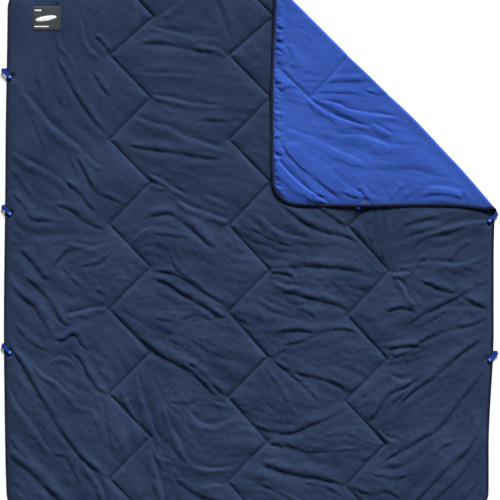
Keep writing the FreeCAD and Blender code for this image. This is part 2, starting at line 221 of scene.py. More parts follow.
def fold_turn(s, t):
    """How far the cloth has turned over, from 0 to 1. It all turns in the middle half of the fold."""
    return np.clip(fold_reach(s, t) / FOLD_REACH + 0.5, 0, 1)


def fold_wobble(along):
    """The fold isn't quite straight: it swells in the middle and is nicked where a crease ends on it."""
    return (
        6.5 * MM * bell(along - 0.09, 0.14)
        - 4.5 * MM * bell(along - 0.48, 0.12)
        + 2.5 * MM * bell(along + 0.14, 0.08)
    )


def relax(x, y, over):
    """The sides of the spread blanket and of its turned-over corner aren't quite straight, and the fold's
    lower right end slips down. over is 1 on the turned-over corner."""
    left = 8 * MM * smooth((y - 0.35) / 0.65) - 6.5 * MM * bell(y + 0.28, 0.42)
    left = left + 5 * MM * bell(y + 0.99, 0.16)
    right = -19 * MM * smooth((-y - 0.30) / 0.45)
    side = smooth((np.abs(x) - 0.30) / 0.60)
    spread = np.where(x < 0, left, right) * side * (1 - over)
    flap_left = -10.5 * MM * (1 - smooth((x - 0.09) / 0.20)) * smooth((y - 0.12) / 0.25)
    flap_low = -4.5 * MM * bell(y - 0.165, 0.10) * bell(x - 0.42, 0.22)
    flap_low = flap_low + 5 * MM * bell(y - 0.165, 0.07) * bell(x - 0.10, 0.08)
    flap_low = flap_low - 8 * MM * bell(y - 0.165, 0.06) * bell(x - 0.91, 0.08)
    fold_end = 17 * MM * bell(x - 0.93, 0.12) * bell(y - 0.165, 0.10)
    return x + spread + flap_left * over + 0.2 * fold_end, y + flap_low * over - fold_end


def fold_over(s, t, z):
    """Where a point of the flat blanket is once the corner is turned over. Gives an array of x, y, z."""
    past = fold_reach(s, t)
    along = (s - t) / ROOT_TWO
    turn = np.pi * fold_turn(s, t)
    radius = FOLD_HEIGHT - z
    beside = np.clip(np.abs(past) / FOLD_REACH * 2 - 1, 0, 1)
    straight = -FOLD_START - (FOLD_REACH - FOLD_START) * beside
    in_fold = straight + np.maximum(radius, TIGHTEST_FOLD) * np.sin(turn)
    across = np.where(np.abs(past) >= FOLD_REACH, -np.abs(past), in_fold)
    across = across + (fold_wobble(along) + FOLD_START) * bell(past, 0.07)
    height = FOLD_HEIGHT - radius * np.cos(turn)
    middle = FOLD_SUM / ROOT_TWO + across
    x = (middle + along) / ROOT_TWO
    y = (middle - along) / ROOT_TWO
    over = smooth((past - 0.03) / 0.25)
    x, y = relax(x, y, over)
    return np.stack([x, y, height], axis=-1)


def covered(s, t):
    """1 where the blanket lies under the turned-over corner, 0 in the open."""
    past = fold_reach(s, t)
    depth = edge_distance(FOLD_SUM - t, FOLD_SUM - s)
    return smooth((depth + 22 * MM) / (30 * MM)) * (past < 0)


# ---------------------------------------------------------------- relief kept on a regular grid
RELIEF_CELL = 3 * MM
RELIEF_MARGIN = 30 * MM


def between(values, column, row):
    """The values of a grid at places between its columns and rows."""
    rows, columns = values.shape
    column = np.clip(column, 0, columns - 1.001)
    row = np.clip(row, 0, rows - 1.001)
    i = column.astype(int)
    j = row.astype(int)
    u = column - i
    v = row - j
    low = values[j, i] * (1 - u) + values[j, i + 1] * u
    high = values[j + 1, i] * (1 - u) + values[j + 1, i + 1] * u
    return low * (1 - v) + high * v


class Relief:
    """Heights over the flat blanket, on a grid of square cells that reaches a little past its edge."""

    def __init__(self):
        self.cell = RELIEF_CELL
        reach_s = HALF_WIDTH + RELIEF_MARGIN
        reach_t = HALF_LENGTH + RELIEF_MARGIN
        self.s = np.arange(-reach_s, reach_s, self.cell)
        self.t = np.arange(-reach_t, reach_t, self.cell)
        self.grid_s, self.grid_t = np.meshgrid(self.s, self.t)
        self.values = np.zeros(self.grid_s.shape)

    def read(self, s, t):
        """The height at any points."""
        return between(self.values, (s - self.s[0]) / self.cell, (t - self.t[0]) / self.cell)

    def blurred(self, values, width):
        """The values, spread by a bell curve of that width."""
        rows, columns = values.shape
        f_row = np.fft.fftfreq(rows, self.cell)[:, None]
        f_column = np.fft.rfftfreq(columns, self.cell)[None, :]
        keep = np.exp(-2 * (math.pi * width) ** 2 * (f_row**2 + f_column**2))
        return np.fft.irfft2(np.fft.rfft2(values) * keep, s=values.shape)

    def streaks(self, angle, width, reach, seed):
        """Random ridges of that width that run along the angle field for that reach. Their spread is 1."""
        noise = np.random.default_rng(seed).normal(size=self.values.shape)
        noise = self.blurred(noise, width / 2.4)
        step = max(self.cell, width / 3)
        total = noise.copy()
        for way in (1, -1):
            s = self.grid_s.copy()
            t = self.grid_t.copy()
            heading_s = np.cos(angle) * way
            heading_t = np.sin(angle) * way
            count = int(reach / step)
            for k in range(1, count):
                s = s + heading_s * step
                t = t + heading_t * step
                column = np.clip(((s - self.s[0]) / self.cell).astype(int), 0, len(self.s) - 1)
                row = np.clip(((t - self.t[0]) / self.cell).astype(int), 0, len(self.t) - 1)
                turned = angle[row, column]
                next_s = np.cos(turned)
                next_t = np.sin(turned)
                flip = np.where(next_s * heading_s + next_t * heading_t < 0, -1.0, 1.0)
                heading_s = next_s * flip
                heading_t = next_t * flip
                total += noise[row, column] * (0.5 + 0.5 * math.cos(math.pi * k / count))
        total = self.blurred(total, self.cell * 0.8)
        return (total - total.mean()) / total.std()


def smooth_path(points, spacing=7 * MM):
    """A smooth curve through the points, in metres, as closely spaced points."""
    ends = [2 * points[0] - points[1], *points, 2 * points[-1] - points[-2]]
    path = []
    for a, b, c, d in zip(ends, ends[1:], ends[2:], ends[3:]):
        count = max(2, int(np.linalg.norm(c - b) / spacing))
        for u in np.arange(count) / count:
            path.append(0.5 * (
                2 * b + (c - a) * u + (2 * a - 5 * b + 4 * c - d) * u**2
                + (3 * b - a - 3 * c + d) * u**3
            ))
    path.append(points[-1])
    return np.array(path)


class Creases:
    """Creases pressed into a relief. Each one is a narrow valley between a full ridge and a low one."""

    def __init__(self, relief):
        self.relief = relief
        self.courses = []

    def press(self, points, depth, ridge, width, ends=(0.12, 0.2)):
        """points are the valley's course. ridge is UP where the full ridge is above it, or else DOWN. ends
        are the shares of its length over which the crease fades in and out."""
        relief = self.relief
        path = smooth_path([np.array(p, float) for p in points])
        course = np.gradient(path, axis=0)
        course /= np.linalg.norm(course, axis=1)[:, None]
        self.courses.append((path, course))
        reach = 5 * width
        low = path.min(0) - reach
        high = path.max(0) + reach
        i0, i1 = np.searchsorted(relief.s, (low[0], high[0]))
        j0, j1 = np.searchsorted(relief.t, (low[1], high[1]))
        s = relief.grid_s[j0:j1, i0:i1]
        t = relief.grid_t[j0:j1, i0:i1]
        off_s = s[..., None] - path[:, 0]
        off_t = t[..., None] - path[:, 1]
        apart = off_s**2 + off_t**2
        nearest = apart.argmin(-1)
        pick = np.take_along_axis
        distance = np.sqrt(pick(apart, nearest[..., None], -1)[..., 0])
        near_s = pick(off_s, nearest[..., None], -1)[..., 0]
        near_t = pick(off_t, nearest[..., None], -1)[..., 0]
        left = course[nearest, 0] * near_t - course[nearest, 1] * near_s
        if course[:, 0].sum() < 0:
            left = -left
        offset = left * ridge
        share = nearest / (len(path) - 1)
        beyond = np.sqrt(np.maximum(distance**2 - left**2, 0)) - 5 * MM
        fade = smooth((share + 0.02) / ends[0]) * smooth((1.02 - share) / ends[1])
        slow_change = 0.22 * np.sin(share * 9 + depth / MM * 5)
        quick_change = 0.12 * np.sin(share * 23 + width / MM)
        fade = fade * (1 + slow_change + quick_change)
        spread = width * (0.55 + 0.45 * np.sin(np.pi * share) + 0.10 * np.sin(share * 17 + depth / MM))
        valley = np.exp(-np.sqrt(offset**2 + (0.10 * width) ** 2) / (0.40 * spread))
        near_ridge = bell(offset - 1.45 * spread, 1.35 * spread)
        far_ridge = bell(offset + 2.1 * spread, 1.9 * spread)
        step = np.tanh(offset / (0.5 * spread)) * np.exp(-np.abs(offset) / (2.4 * spread))
        profile = 0.85 * near_ridge + 0.40 * far_ridge + 0.40 * step - 1.05 * valley
        fade = fade * bell(np.maximum(beyond, 0), 8 * MM)
        relief.values[j0:j1, i0:i1] += profile * depth * fade

    def directions(self, fallback):
        """The angle that the cloth's small folds run at, taken from the creases nearby. Away from any crease
        it is fallback. It is worked out on every fifth line of the grid."""
        relief = self.relief
        coarse = 5
        s = relief.grid_s[::coarse, ::coarse]
        t = relief.grid_t[::coarse, ::coarse]
        cosine = 0.10 * np.cos(2 * fallback[::coarse, ::coarse])
        sine = 0.10 * np.sin(2 * fallback[::coarse, ::coarse])
        for path, course in self.courses:
            doubled = 2 * np.arctan2(course[:, 1], course[:, 0])
            for k in range(0, len(path), 4):
                weight = bell(np.hypot(s - path[k, 0], t - path[k, 1]), 55 * MM)
                cosine = cosine + weight * math.cos(doubled[k])
                sine = sine + weight * math.sin(doubled[k])
        angle = np.arctan2(sine, cosine) / 2
        rows = np.minimum(np.arange(relief.values.shape[0]) // coarse, angle.shape[0] - 1)
        columns = np.minimum(np.arange(relief.values.shape[1]) // coarse, angle.shape[1] - 1)
        fine = angle[rows][:, columns]
        smooth_cos = relief.blurred(np.cos(2 * fine), 12 * MM)
        smooth_sin = relief.blurred(np.sin(2 * fine), 12 * MM)
        return np.arctan2(smooth_sin, smooth_cos) / 2


def flap_place(x, y):
    """The flat point that lies at (x, y) once the corner is turned over."""
    return (FOLD_SUM - y, FOLD_SUM - x)


def press_all(creases, folds, turned_over=False):
    """Presses folds written as (depth in mm, width in mm, ridge side, course in cm)."""
    for depth, width, ridge, course in folds:
        points = [(x * CM, y * CM) for x, y in course]
        if turned_over:
            points = [flap_place(x, y) for x, y in points]
        creases.press(points, depth * MM, ridge, width * MM)


UP = 1
DOWN = -1

# The shell's larger creases: depth and width in mm, the side that the ridge is on, and the course in cm.
LEFT_FOLDS = [
    (3.4, 8, DOWN, [(-71.5, 99), (-71.4, 88), (-71, 78), (-69.5, 75), (-66, 71)]),
    (4.2, 11, UP, [(-73, 72), (-69, 64), (-65, 57), (-60, 50), (-55, 44), (-52.8, 41.3)]),
    (4.4, 15, DOWN, [(-86, 60), (-80, 54), (-75, 48), (-68, 42), (-63, 38), (-60, 33)]),
    (2.6, 10, DOWN, [(-61, 36), (-58, 33), (-54, 30.5)]),
    (3.4, 13, DOWN, [(-89, 37), (-82, 33), (-75, 29.5), (-70, 26), (-67, 22)]),
    (3.8, 11, UP, [(-69, 25.5), (-63, 20), (-60, 16), (-57, 13.5)]),
    (3.6, 10, UP, [(-66, 36), (-63, 31), (-60, 25), (-57, 21), (-52, 19), (-46, 16)]),
    (2.4, 10, UP, [(-90, 30), (-86, 25), (-82, 20)]),
    (3.0, 11, UP, [(-89, 21), (-85, 16), (-81, 11), (-75, 10.5), (-69, 9.5)]),
    (3.6, 12, UP, [(-73, 17), (-66, 14), (-62, 10.5), (-58, 8.5), (-54, 7)]),
    (3.2, 9, DOWN, [(-68, 3), (-63, 2), (-58, 1.3), (-54, 3)]),
    (3.0, 10, DOWN, [(-63, 86), (-61.5, 80), (-60, 76), (-57, 73), (-55, 70)]),
    (3.6, 8, UP, [(-58.5, 80), (-55, 76.5), (-52.5, 74)]),
    (2.8, 10, UP, [(-59, 66), (-56, 61), (-52.5, 57)]),
    (2.2, 9, UP, [(-82, 50), (-80, 44), (-77, 38)]),
    (2.0, 9, UP, [(-73, 60), (-72, 56), (-69, 52)]),
    (2.0, 9, UP, [(-68, 37), (-67, 32), (-65, 28)]),
    (2.4, 9, UP, [(-77, 76), (-78, 68), (-77, 60)]),
    (3.8, 13, UP, [(-86, 0), (-82, -4), (-78, -9), (-75, -12)]),
    (4.6, 12, UP, [(-89.5, -12), (-86, -17), (-81, -21), (-77, -27), (-73, -33)]),
    (4.6, 10, UP, [(-73, -33.5), (-69, -34), (-65.5, -32), (-62.5, -36), (-60, -38)]),
    (3.8, 11, UP, [(-84, -10), (-78, -15.5), (-74, -20), (-70, -27), (-66, -29)]),
    (4.8, 11, DOWN, [(-69, -24.5), (-62, -22.7), (-58, -21.6), (-53, -21.3)]),
    (3.4, 8, UP, [(-73, -6.5), (-70, -3), (-66.5, 1)]),
    (3.0, 9, UP, [(-64, -6.5), (-59, -6), (-55, -4.5), (-50, 0)]),
    (2.8, 8, UP, [(-70, -6.5), (-67, -11), (-63, -14)]),
    (2.4, 9, UP, [(-58, -15), (-55, -17), (-53, -19)]),
    (4.6, 10, UP, [(-66.5, -38), (-63, -42), (-60, -48), (-57, -52), (-53, -55)]),
    (3.2, 9, DOWN, [(-75, -42), (-71, -40), (-67, -41), (-64, -44.5)]),
    (3.4, 9, DOWN, [(-81, -42), (-77, -46), (-72, -49), (-68, -53), (-62, -56.5)]),
    (5.2, 13, UP, [(-89, -37), (-85, -43), (-80, -52), (-76, -59), (-72, -66),
                   (-67, -73), (-62, -79), (-56, -84), (-53, -87)]),
    (3.8, 11, DOWN, [(-90, -49), (-88, -55), (-85, -60), (-80, -66), (-76, -73), (-73, -77)]),
    (3.0, 10, UP, [(-73, -77), (-69, -78), (-66, -84), (-63, -89)]),
    (3.2, 10, UP, [(-91, -69), (-88, -74), (-85, -77), (-82, -80)]),
    (5.4, 18, UP, [(-91, -76), (-87, -80), (-82, -84), (-77, -89), (-72, -94), (-68, -99)]),
    (4.0, 10, DOWN, [(-62, -79), (-58, -85), (-55, -90), (-54, -98)]),
    (2.4, 9, UP, [(-88, -27), (-84, -33), (-80, -36), (-75, -38)]),
    (2.2, 10, DOWN, [(-55, -59), (-54, -66), (-52, -75)]),
    (2.6, 11, DOWN, [(-68, -54), (-63, -58), (-58, -60), (-56, -66)]),
]
MIDDLE_FOLDS = [
    (3.8, 14, UP, [(-41, 77), (-36, 77), (-30, 76.5), (-22, 74.5), (-13, 73.5)]),
    (3.6, 9, DOWN, [(-17, 76), (-12, 75.5), (-8.3, 73)]),
    (3.6, 10, DOWN, [(-37.5, 58.5), (-34, 57.5), (-30, 57), (-24, 55.5), (-18, 54.5), (-10, 53.5)]),
    (4.0, 14, DOWN, [(-44, 50.5), (-36, 47.5), (-30, 46), (-25, 43), (-18, 40.5), (-12, 38.5), (-7, 37)]),
    (3.6, 12, UP, [(-46, 39), (-38, 37.5), (-28, 36), (-20, 34.5), (-10, 33.5)]),
    (3.8, 10, DOWN, [(-38, 28.5), (-33, 26.5), (-28, 23), (-23.5, 20.5)]),
    (3.6, 7, DOWN, [(-37.5, 25.5), (-34, 24), (-31.5, 23)]),
    (5.0, 12, DOWN, [(-27, 19), (-22, 16), (-17, 14.5), (-12, 12.5), (-7, 11)]),
    (5.4, 15, UP, [(-38, 12), (-33, 13), (-29.5, 13), (-25, 10), (-20, 6), (-16, 2), (-12, -1)]),
    (2.8, 9, DOWN, [(-45, 3), (-41, 7), (-36, 9)]),
    (2.2, 9, UP, [(-37, 6), (-30, 5), (-22, 4)]),
    (3.0, 13, UP, [(-14, 97), (-11, 90), (-9, 84), (-6, 78)]),
    (2.8, 11, DOWN, [(-22, 99), (-28, 92), (-33, 88), (-36.5, 86)]),
    (2.2, 9, UP, [(-43, 98), (-41.5, 91), (-40, 85)]),
    (2.2, 10, DOWN, [(-38, 84), (-30, 82), (-20, 80), (-11, 79)]),
    (2.0, 10, DOWN, [(-45, 67), (-36, 66), (-26, 66), (-17, 65)]),
    (2.0, 9, UP, [(-20, 48), (-13, 48), (-6, 47)]),
    (2.2, 9, DOWN, [(-18, 21), (-12, 19), (-7, 16)]),
    (3.4, 9, UP, [(-30, -2), (-28, -7), (-23, -11), (-17, -15)]),
    (4.2, 10, UP, [(-36, -8), (-30, -9), (-25, -11), (-19, -15), (-14, -18), (-9, -20.5)]),
    (4.8, 11, UP, [(-37, -10.5), (-31, -13), (-25, -17), (-18, -21), (-12, -25), (-8.5, -26)]),
    (3.4, 8, DOWN, [(-13, -21.5), (-8.5, -24)]),
    (5.0, 15, UP, [(-42, -33), (-37, -37.5), (-33, -40), (-28, -43), (-22, -46), (-17, -51), (-12, -56)]),
    (4.0, 11, UP, [(-24, -42), (-20, -44.5), (-16, -48.5), (-12, -52.5), (-9, -55.5)]),
    (3.4, 12, DOWN, [(-47, -52), (-44.5, -58), (-42, -64)]),
    (3.6, 12, DOWN, [(-42, -46), (-40.5, -52), (-38, -60), (-35.5, -67), (-32, -74)]),
    (3.8, 11, DOWN, [(-32, -58), (-29, -66), (-26, -71), (-24, -76), (-21, -80), (-17, -81.5),
                     (-12, -81.7), (-5, -81)]),
    (3.4, 8, DOWN, [(-36.5, -72.5), (-34, -77), (-31, -78), (-28, -80)]),
    (5.2, 12, DOWN, [(-37, -74), (-35, -81), (-33, -88), (-31, -98)]),
    (3.4, 11, DOWN, [(-23, -60), (-19, -64), (-15, -65.5), (-10, -64.5), (-5, -62)]),
    (3.2, 8, DOWN, [(-13.5, -56.5), (-8.5, -58)]),
    (3.2, 9, DOWN, [(-19, -88.5), (-13, -87.5), (-8.6, -88.3)]),
    (4.2, 14, UP, [(-28, -86), (-22, -91), (-15, -94), (-8, -95)]),
    (2.4, 12, UP, [(-36, -26), (-28, -27), (-20, -25), (-13, -27)]),
    (2.0, 10, UP, [(-30, -57), (-24, -58), (-17, -56)]),
]
CENTRE_FOLDS = [
    (4.4, 10, UP, [(7.5, -8.7), (14, -9.5), (17, -12)]),
    (4.6, 9, DOWN, [(8, -11.3), (14, -13.2), (19, -13.5)]),
    (4.4, 15, UP, [(8, -7), (20, -6.5), (28, -6.7), (36, -7.5), (44, -9)]),
    (4.6, 11, UP, [(12, -15.5), (20, -17.7), (27, -19.5), (33, -21), (37, -23.5)]),
    (3.2, 9, DOWN, [(3, -17), (8, -20), (14, -22.5)]),
    (2.6, 9, UP, [(18, -22), (25, -25.8)]),
    (3.6, 11, UP, [(9, -31), (18, -30.5), (25, -31.5), (30, -30.5), (36, -30), (41, -31.5)]),
    (3.4, 9, UP, [(12, -36), (18, -35), (23, -33), (27, -32)]),
    (3.2, 8, UP, [(8.5, -41), (11, -39), (15, -37)]),
    (4.0, 11, UP, [(9, -42), (15, -46), (22, -47.5), (28, -49), (34, -51.5), (37, -55)]),
    (2.4, 9, UP, [(6, -45), (10, -51), (14, -58)]),
    (2.6, 9, UP, [(14, -46), (20, -51), (26, -57)]),
    (4.4, 12, UP, [(1, -66), (8, -68.5), (15, -69), (22, -66.5), (28, -64), (33, -61.5), (37, -58.5)]),
    (3.2, 11, UP, [(12, -72.5), (17, -74.5), (22, -76), (28, -75.8), (35, -75.5), (45, -74.5)]),
    (3.6, 8, UP, [(7, -72.5), (13, -74.3)]),
    (5.2, 14, UP, [(4, -80), (10, -82.5), (18, -84.7), (26, -86), (35, -88.3)]),
    (2.8, 10, UP, [(20, -87.5), (28, -89), (35, -93)]),
    (2.6, 10, UP, [(4, -88), (12, -92), (20, -97)]),
    (4.6, 12, UP, [(11, 17), (18, 11.5), (23, 8.5), (28, 6.3), (35, 5), (41, 2.5)]),
    (4.0, 10, UP, [(25, 16), (31, 11.8), (36, 8.5)]),
    (3.2, 12, DOWN, [(3, 14), (10, 8), (18, 5), (26, 3)]),
    (2.6, 10, UP, [(0, 8), (8, 3.5), (16, 1)]),
    (2.4, 10, UP, [(28, -70), (35, -69.5), (41, -70.5)]),
]
RIGHT_FOLDS = [
    (5.0, 10, DOWN, [(53, -8.8), (56, -8.5), (60, -8)]),
    (3.8, 8, DOWN, [(55.5, -10.5), (58, -14), (60, -18), (63, -21)]),
    (3.6, 9, UP, [(51, -23.5), (56, -22), (60, -22.7), (63, -24.5)]),
    (4.2, 10, UP, [(60, -28), (64, -25), (70, -22), (76, -19), (80, -17), (84, -14.5)]),
    (3.2, 8, UP, [(64, -29), (70, -25.5), (75, -22.7)]),
    (3.6, 11, UP, [(64, -12), (70, -14.5), (75, -16.2), (79, -16)]),
    (3.4, 11, UP, [(79, -17.5), (85, -21), (89, -22.5)]),
    (4.0, 9, UP, [(52, -37.3), (58, -36.5), (65, -36)]),
    (4.0, 12, UP, [(62, -35.5), (70, -32), (76, -30), (83, -28.5), (88, -26), (90.5, -23)]),
    (3.2, 8, UP, [(53, -41.5), (57, -39.5), (62, -37.5)]),
    (3.4, 9, DOWN, [(52, -46.5), (57, -48.7), (61, -48)]),
    (4.0, 10, UP, [(46, -64), (50, -58), (53, -54), (58, -52), (63, -48.7), (67, -46.5)]),
    (5.2, 12, UP, [(57, -58), (61, -54), (66, -50.3), (70, -47.5), (75, -43), (79, -39.5),
                   (84, -36), (89, -32)]),
    (3.0, 8, UP, [(51, -61), (55, -57), (60, -52.5)]),
    (5.4, 13, UP, [(51, -79.5), (54, -77.5), (60, -74.5), (66, -71), (72, -67.5), (76, -63),
                   (80, -57), (84, -52), (89, -44.5)]),
    (5.2, 12, UP, [(60, -98), (65, -93), (70, -88), (76, -82), (80, -79), (84, -75), (88, -68),
                   (90, -60)]),
    (3.2, 8, UP, [(66, -99), (72, -93), (78, -87.5), (83, -82), (87, -76.5), (90, -70)]),
    (3.0, 8, UP, [(78, -99), (83, -93), (88, -86.5)]),
    (2.6, 7, UP, [(85, -66), (87, -60), (89.5, -52)]),
    (2.8, 8, UP, [(71, -77), (74, -74), (78, -72.5)]),
    (3.8, 10, DOWN, [(49, -67.5), (53, -70.5), (57, -71)]),
    (3.0, 11, UP, [(58, 9), (66, 11), (72, 12)]),
    (3.8, 11, DOWN, [(70, 7.5), (78, 10.3), (86, 12), (91, 13)]),
    (3.2, 10, UP, [(58, 4.5), (66, 7), (72, 8)]),
    (3.2, 10, UP, [(60, 0), (66, 4), (74, 6), (82, 9)]),
    (3.0, 11, DOWN, [(62, -5), (70, -4.5), (78, -5), (86, -3)]),
    (2.6, 9, DOWN, [(46.5, 14), (46, 8), (47, 2)]),
    (2.4, 9, DOWN, [(50.5, 15), (50, 8), (49, 1), (49.5, -5)]),
    (2.8, 9, UP, [(61, -9.5), (64, -5), (67, -2)]),
    (2.4, 9, UP, [(75, -5), (79, 0), (84, 3)]),
    (2.6, 10, UP, [(40, -90), (46, -92), (52, -91), (58, -94)]),
    (2.4, 9, UP, [(45, -84), (54, -86), (62, -84)]),
]

# The turned-over corner's creases, on its upper face as it lies.
FLAP_FOLDS = [
    (4.0, 9, UP, [(21.5, 57), (26, 53.5), (30, 51), (36, 48.5), (42, 46.5), (46, 46)]),
    (2.6, 8, UP, [(46, 47), (49, 45.5), (53, 43)]),
    (3.6, 10, UP, [(26, 56), (33, 54.5), (37, 52.5), (42, 51.5), (48, 50.5), (56, 49)]),
    (2.6, 8, DOWN, [(43, 59), (47, 57.5), (52, 56.5)]),
    (1.8, 9, DOWN, [(25, 58.5), (32, 58.3), (41, 58)]),
    (6.2, 14, UP, [(10.5, 36.5), (12.3, 32.5), (15.5, 28.6), (19.2, 25.0), (23.5, 21.6), (28, 18.8),
                   (31, 16.8)]),
    (5.0, 24, DOWN, [(12.4, 39.5), (14.8, 35.4), (18.2, 31.4), (22.2, 27.8), (26.6, 24.4), (30.6, 21.4),
                     (34, 19)]),
    (2.2, 9, UP, [(11, 41.5), (13.5, 38), (15, 36)]),
    (2.4, 8, UP, [(23, 17.5), (24, 19.8), (28, 19.8)]),
    (2.8, 8, DOWN, [(35, 21.5), (38, 20), (41, 19.5)]),
    (3.0, 8, DOWN, [(39.5, 23), (42, 21.5), (43.5, 18.5)]),
    (2.2, 10, UP, [(53.5, 18), (55.5, 21.5), (58.5, 24)]),
    (2.0, 9, UP, [(58, 18.5), (61.5, 21.5)]),
    (2.2, 13, DOWN, [(64, 19.5), (72, 20.5), (80, 19)]),
    (1.8, 16, UP, [(66, 24), (74, 23.5), (82, 22.5)]),
    (1.7, 20, UP, [(14, 46), (24, 42), (34, 37), (45, 32)]),
    (1.6, 22, DOWN, [(30, 34), (44, 30), (60, 30), (74, 27)]),
    (1.7, 18, UP, [(30, 51.5), (38, 46), (48, 41), (60, 38)]),
    (1.5, 16, UP, [(33, 43), (44, 42.5), (54, 38)]),
    (1.4, 14, UP, [(28, 29), (40, 23), (50, 19.5)]),
    (1.5, 10, DOWN, [(30, 65), (37, 65.5), (43, 65)]),
    (1.5, 10, DOWN, [(27, 62), (36, 62.5), (46, 62)]),
    (1.6, 14, DOWN, [(14, 76), (16, 72), (15, 68)]),
    (1.6, 11, UP, [(12, 59), (16, 60.5), (20, 59.5)]),
    (1.8, 10, DOWN, [(10, 67), (14, 65), (17, 62.5)]),
]


def sharp_valleys(streaks, round_off):
    """Streaks as padded cloth has them: rounded crowns between narrow valleys."""
    return np.sqrt(streaks**2 + round_off**2) * 1.5 - 1.2


def patchy(relief, size, low, seed):
    """Between low and 1, so that some areas are crumpled and others lie smooth."""
    noise = relief.blurred(np.random.default_rng(seed).normal(size=relief.values.shape), size)
    noise = noise / noise.std()
    return low + (1 - low) * smooth(0.5 + 0.45 * noise)


def seam_mask(relief, inner, width):
    """Small near a quilting line, 1 away from it."""
    distance = nearest_seam(relief.grid_s, relief.grid_t)[0]
    return inner + (1 - inner) * smooth(distance / width)


def shell_relief():
    """The creases and small folds of the navy upper cloth. Up is positive."""
    relief = Relief()
    creases = Creases(relief)
    for folds in (LEFT_FOLDS, MIDDLE_FOLDS, CENTRE_FOLDS, RIGHT_FOLDS):
        press_all(creases, folds)
    s = relief.grid_s
    t = relief.grid_t
    fallback = np.where(s < -0.45, -0.95, np.where(s > 0.45, 0.75, -0.18))
    fallback = np.where((t > 0.70) & (s < -0.6), -1.4, fallback)
    angle = creases.directions(fallback)
    lively = 0.55 + 0.45 * smooth((0.35 - t) / 0.5)
    broad = sharp_valleys(relief.streaks(angle, 40 * MM, 0.15, 11), 0.12)
    narrow = sharp_valleys(relief.streaks(angle, 17 * MM, 0.05, 12), 0.20)
    fine = relief.streaks(angle, 9 * MM, 0.02, 13)
    narrow = narrow * patchy(relief, 45 * MM, 0.15, 14)
    fine = fine * patchy(relief, 35 * MM, 0.3, 15)
    crumple = sharp_valleys(relief.streaks(angle, 13 * MM, 0.012, 16), 0.15)
    crumple = crumple * patchy(relief, 30 * MM, 0.2, 17)
    small_folds = 1.2 * MM * broad + 0.75 * MM * narrow + 0.40 * MM * fine + 0.40 * MM * crumple
    relief.values += lively * small_folds
    relief.values *= seam_mask(relief, 0.12, 16 * MM)
    relief.values *= 1 - 0.97 * smooth((fold_reach(s, t) + 60 * MM) / (45 * MM))
    relief.values *= 1 - 0.72 * covered(s, t)
    beyond_s = np.maximum(np.maximum(label_low.x - s, s - label_high.x), 0)
    beyond_t = np.maximum(np.maximum(label_low.y - t, t - label_high.y), 0)
    relief.values *= 0.12 + 0.88 * smooth(np.hypot(beyond_s, beyond_t) / (18 * MM))
    return relief


# Where the turned-over corner's left and lower edges lie, and the stretch of each that is puckered.
FLAP_LEFT = 0.088
FLAP_LEFT_STRETCH = (0.215, 0.985)
FLAP_LOW = 0.168
FLAP_LOW_STRETCH = (0.16, 0.86)
PUCKER_ENDS = (0.05, 0.6)


def press_pucker(creases, random, course, depths, widths):
    """One short crease that runs in from the edge of the turned-over corner."""
    points = [flap_place(x, y) for x, y in course]
    side = random.choice((UP, DOWN))
    depth = random.uniform(*depths) * MM
    creases.press(points, depth, side, random.uniform(*widths) * MM, PUCKER_ENDS)


def pucker_edges(creases):
    """Puckers along the turned-over corner's left edge, and fainter ones along its lower edge."""
    random = np.random.default_rng(31)
    level, top = FLAP_LEFT_STRETCH
    while level < top:
        length = random.uniform(16, 58) * MM
        slant = random.uniform(-0.95, 0.10)
        course = [
            (FLAP_LEFT, level),
            (FLAP_LEFT + length / 2, level + slant * length / 2 * 0.6),
            (FLAP_LEFT + length, level + slant * length),
        ]
        press_pucker(creases, random, course, (2.2, 5.2), (6, 9))
        level += random.uniform(8, 19) * MM
    across, right = FLAP_LOW_STRETCH
    while across < right:
        length = random.uniform(12, 34) * MM
        lean = random.uniform(-0.5, 0.5)
        course = [(across, FLAP_LOW), (across + lean * length, FLAP_LOW + length)]
        press_pucker(creases, random, course, (0.5, 1.3), (5, 8))
        across += random.uniform(18, 46) * MM


def lining_relief():
    """The creases and small folds of the blue lining, on its outer face. Out is positive."""
    relief = Relief()
    creases = Creases(relief)
    press_all(creases, FLAP_FOLDS, turned_over=True)
    pucker_edges(creases)
    s = relief.grid_s
    t = relief.grid_t
    angle = creases.directions(np.where(s > 0, 0.35, -0.6))
    broad = relief.streaks(angle, 46 * MM, 0.10, 21)
    narrow = sharp_valleys(relief.streaks(angle, 18 * MM, 0.07, 22), 0.3)
    narrow = narrow * patchy(relief, 45 * MM, 0.2, 24)
    fine = relief.streaks(angle, 8 * MM, 0.03, 23)
    flap = smooth((fold_reach(s, t) + 10 * MM) / (60 * MM))
    amount = 0.45 + 0.55 * flap
    relief.values += amount * (0.62 * MM * broad + 0.44 * MM * narrow + 0.17 * MM * fine)
    relief.values *= seam_mask(relief, 0.12, 18 * MM)
    relief.values *= 1 - 0.55 * bell(fold_reach(s, t), 26 * MM)
    return relief


SHELL_RELIEF = shell_relief()
LINING_RELIEF = lining_relief()

# What the cloth simulation adds to each cloth's height.
SHELL_SETTLED = Relief()
FLAP_SETTLED = Relief()

SNAPS = [cad_point("snap_cap_" + name) for name in LOOPS]
corner_snap = cad_point("corner_snap_cap")
SNAP_PLACES = [(p.x, p.y) for p in SNAPS] + [flap_place(corner_snap.x, corner_snap.y)]


def hem_height(s, t):
    """The height of the middle of the bound edge. On the turned-over corner it lies near the underside."""
    return HEM_HEIGHT + (FLAP_HEM_HEIGHT - HEM_HEIGHT) * smooth(fold_share(s, t))


# Under the binding the cloths lie together. From its inner edge the padding swells over about EDGE_RISE, and
# round each snap over SNAP_RISE.
HEM_WIDTH = 8.5 * MM
EDGE_RISE = 15 * MM
SNAP_RADIUS = 7 * MM
SNAP_RISE = 16 * MM


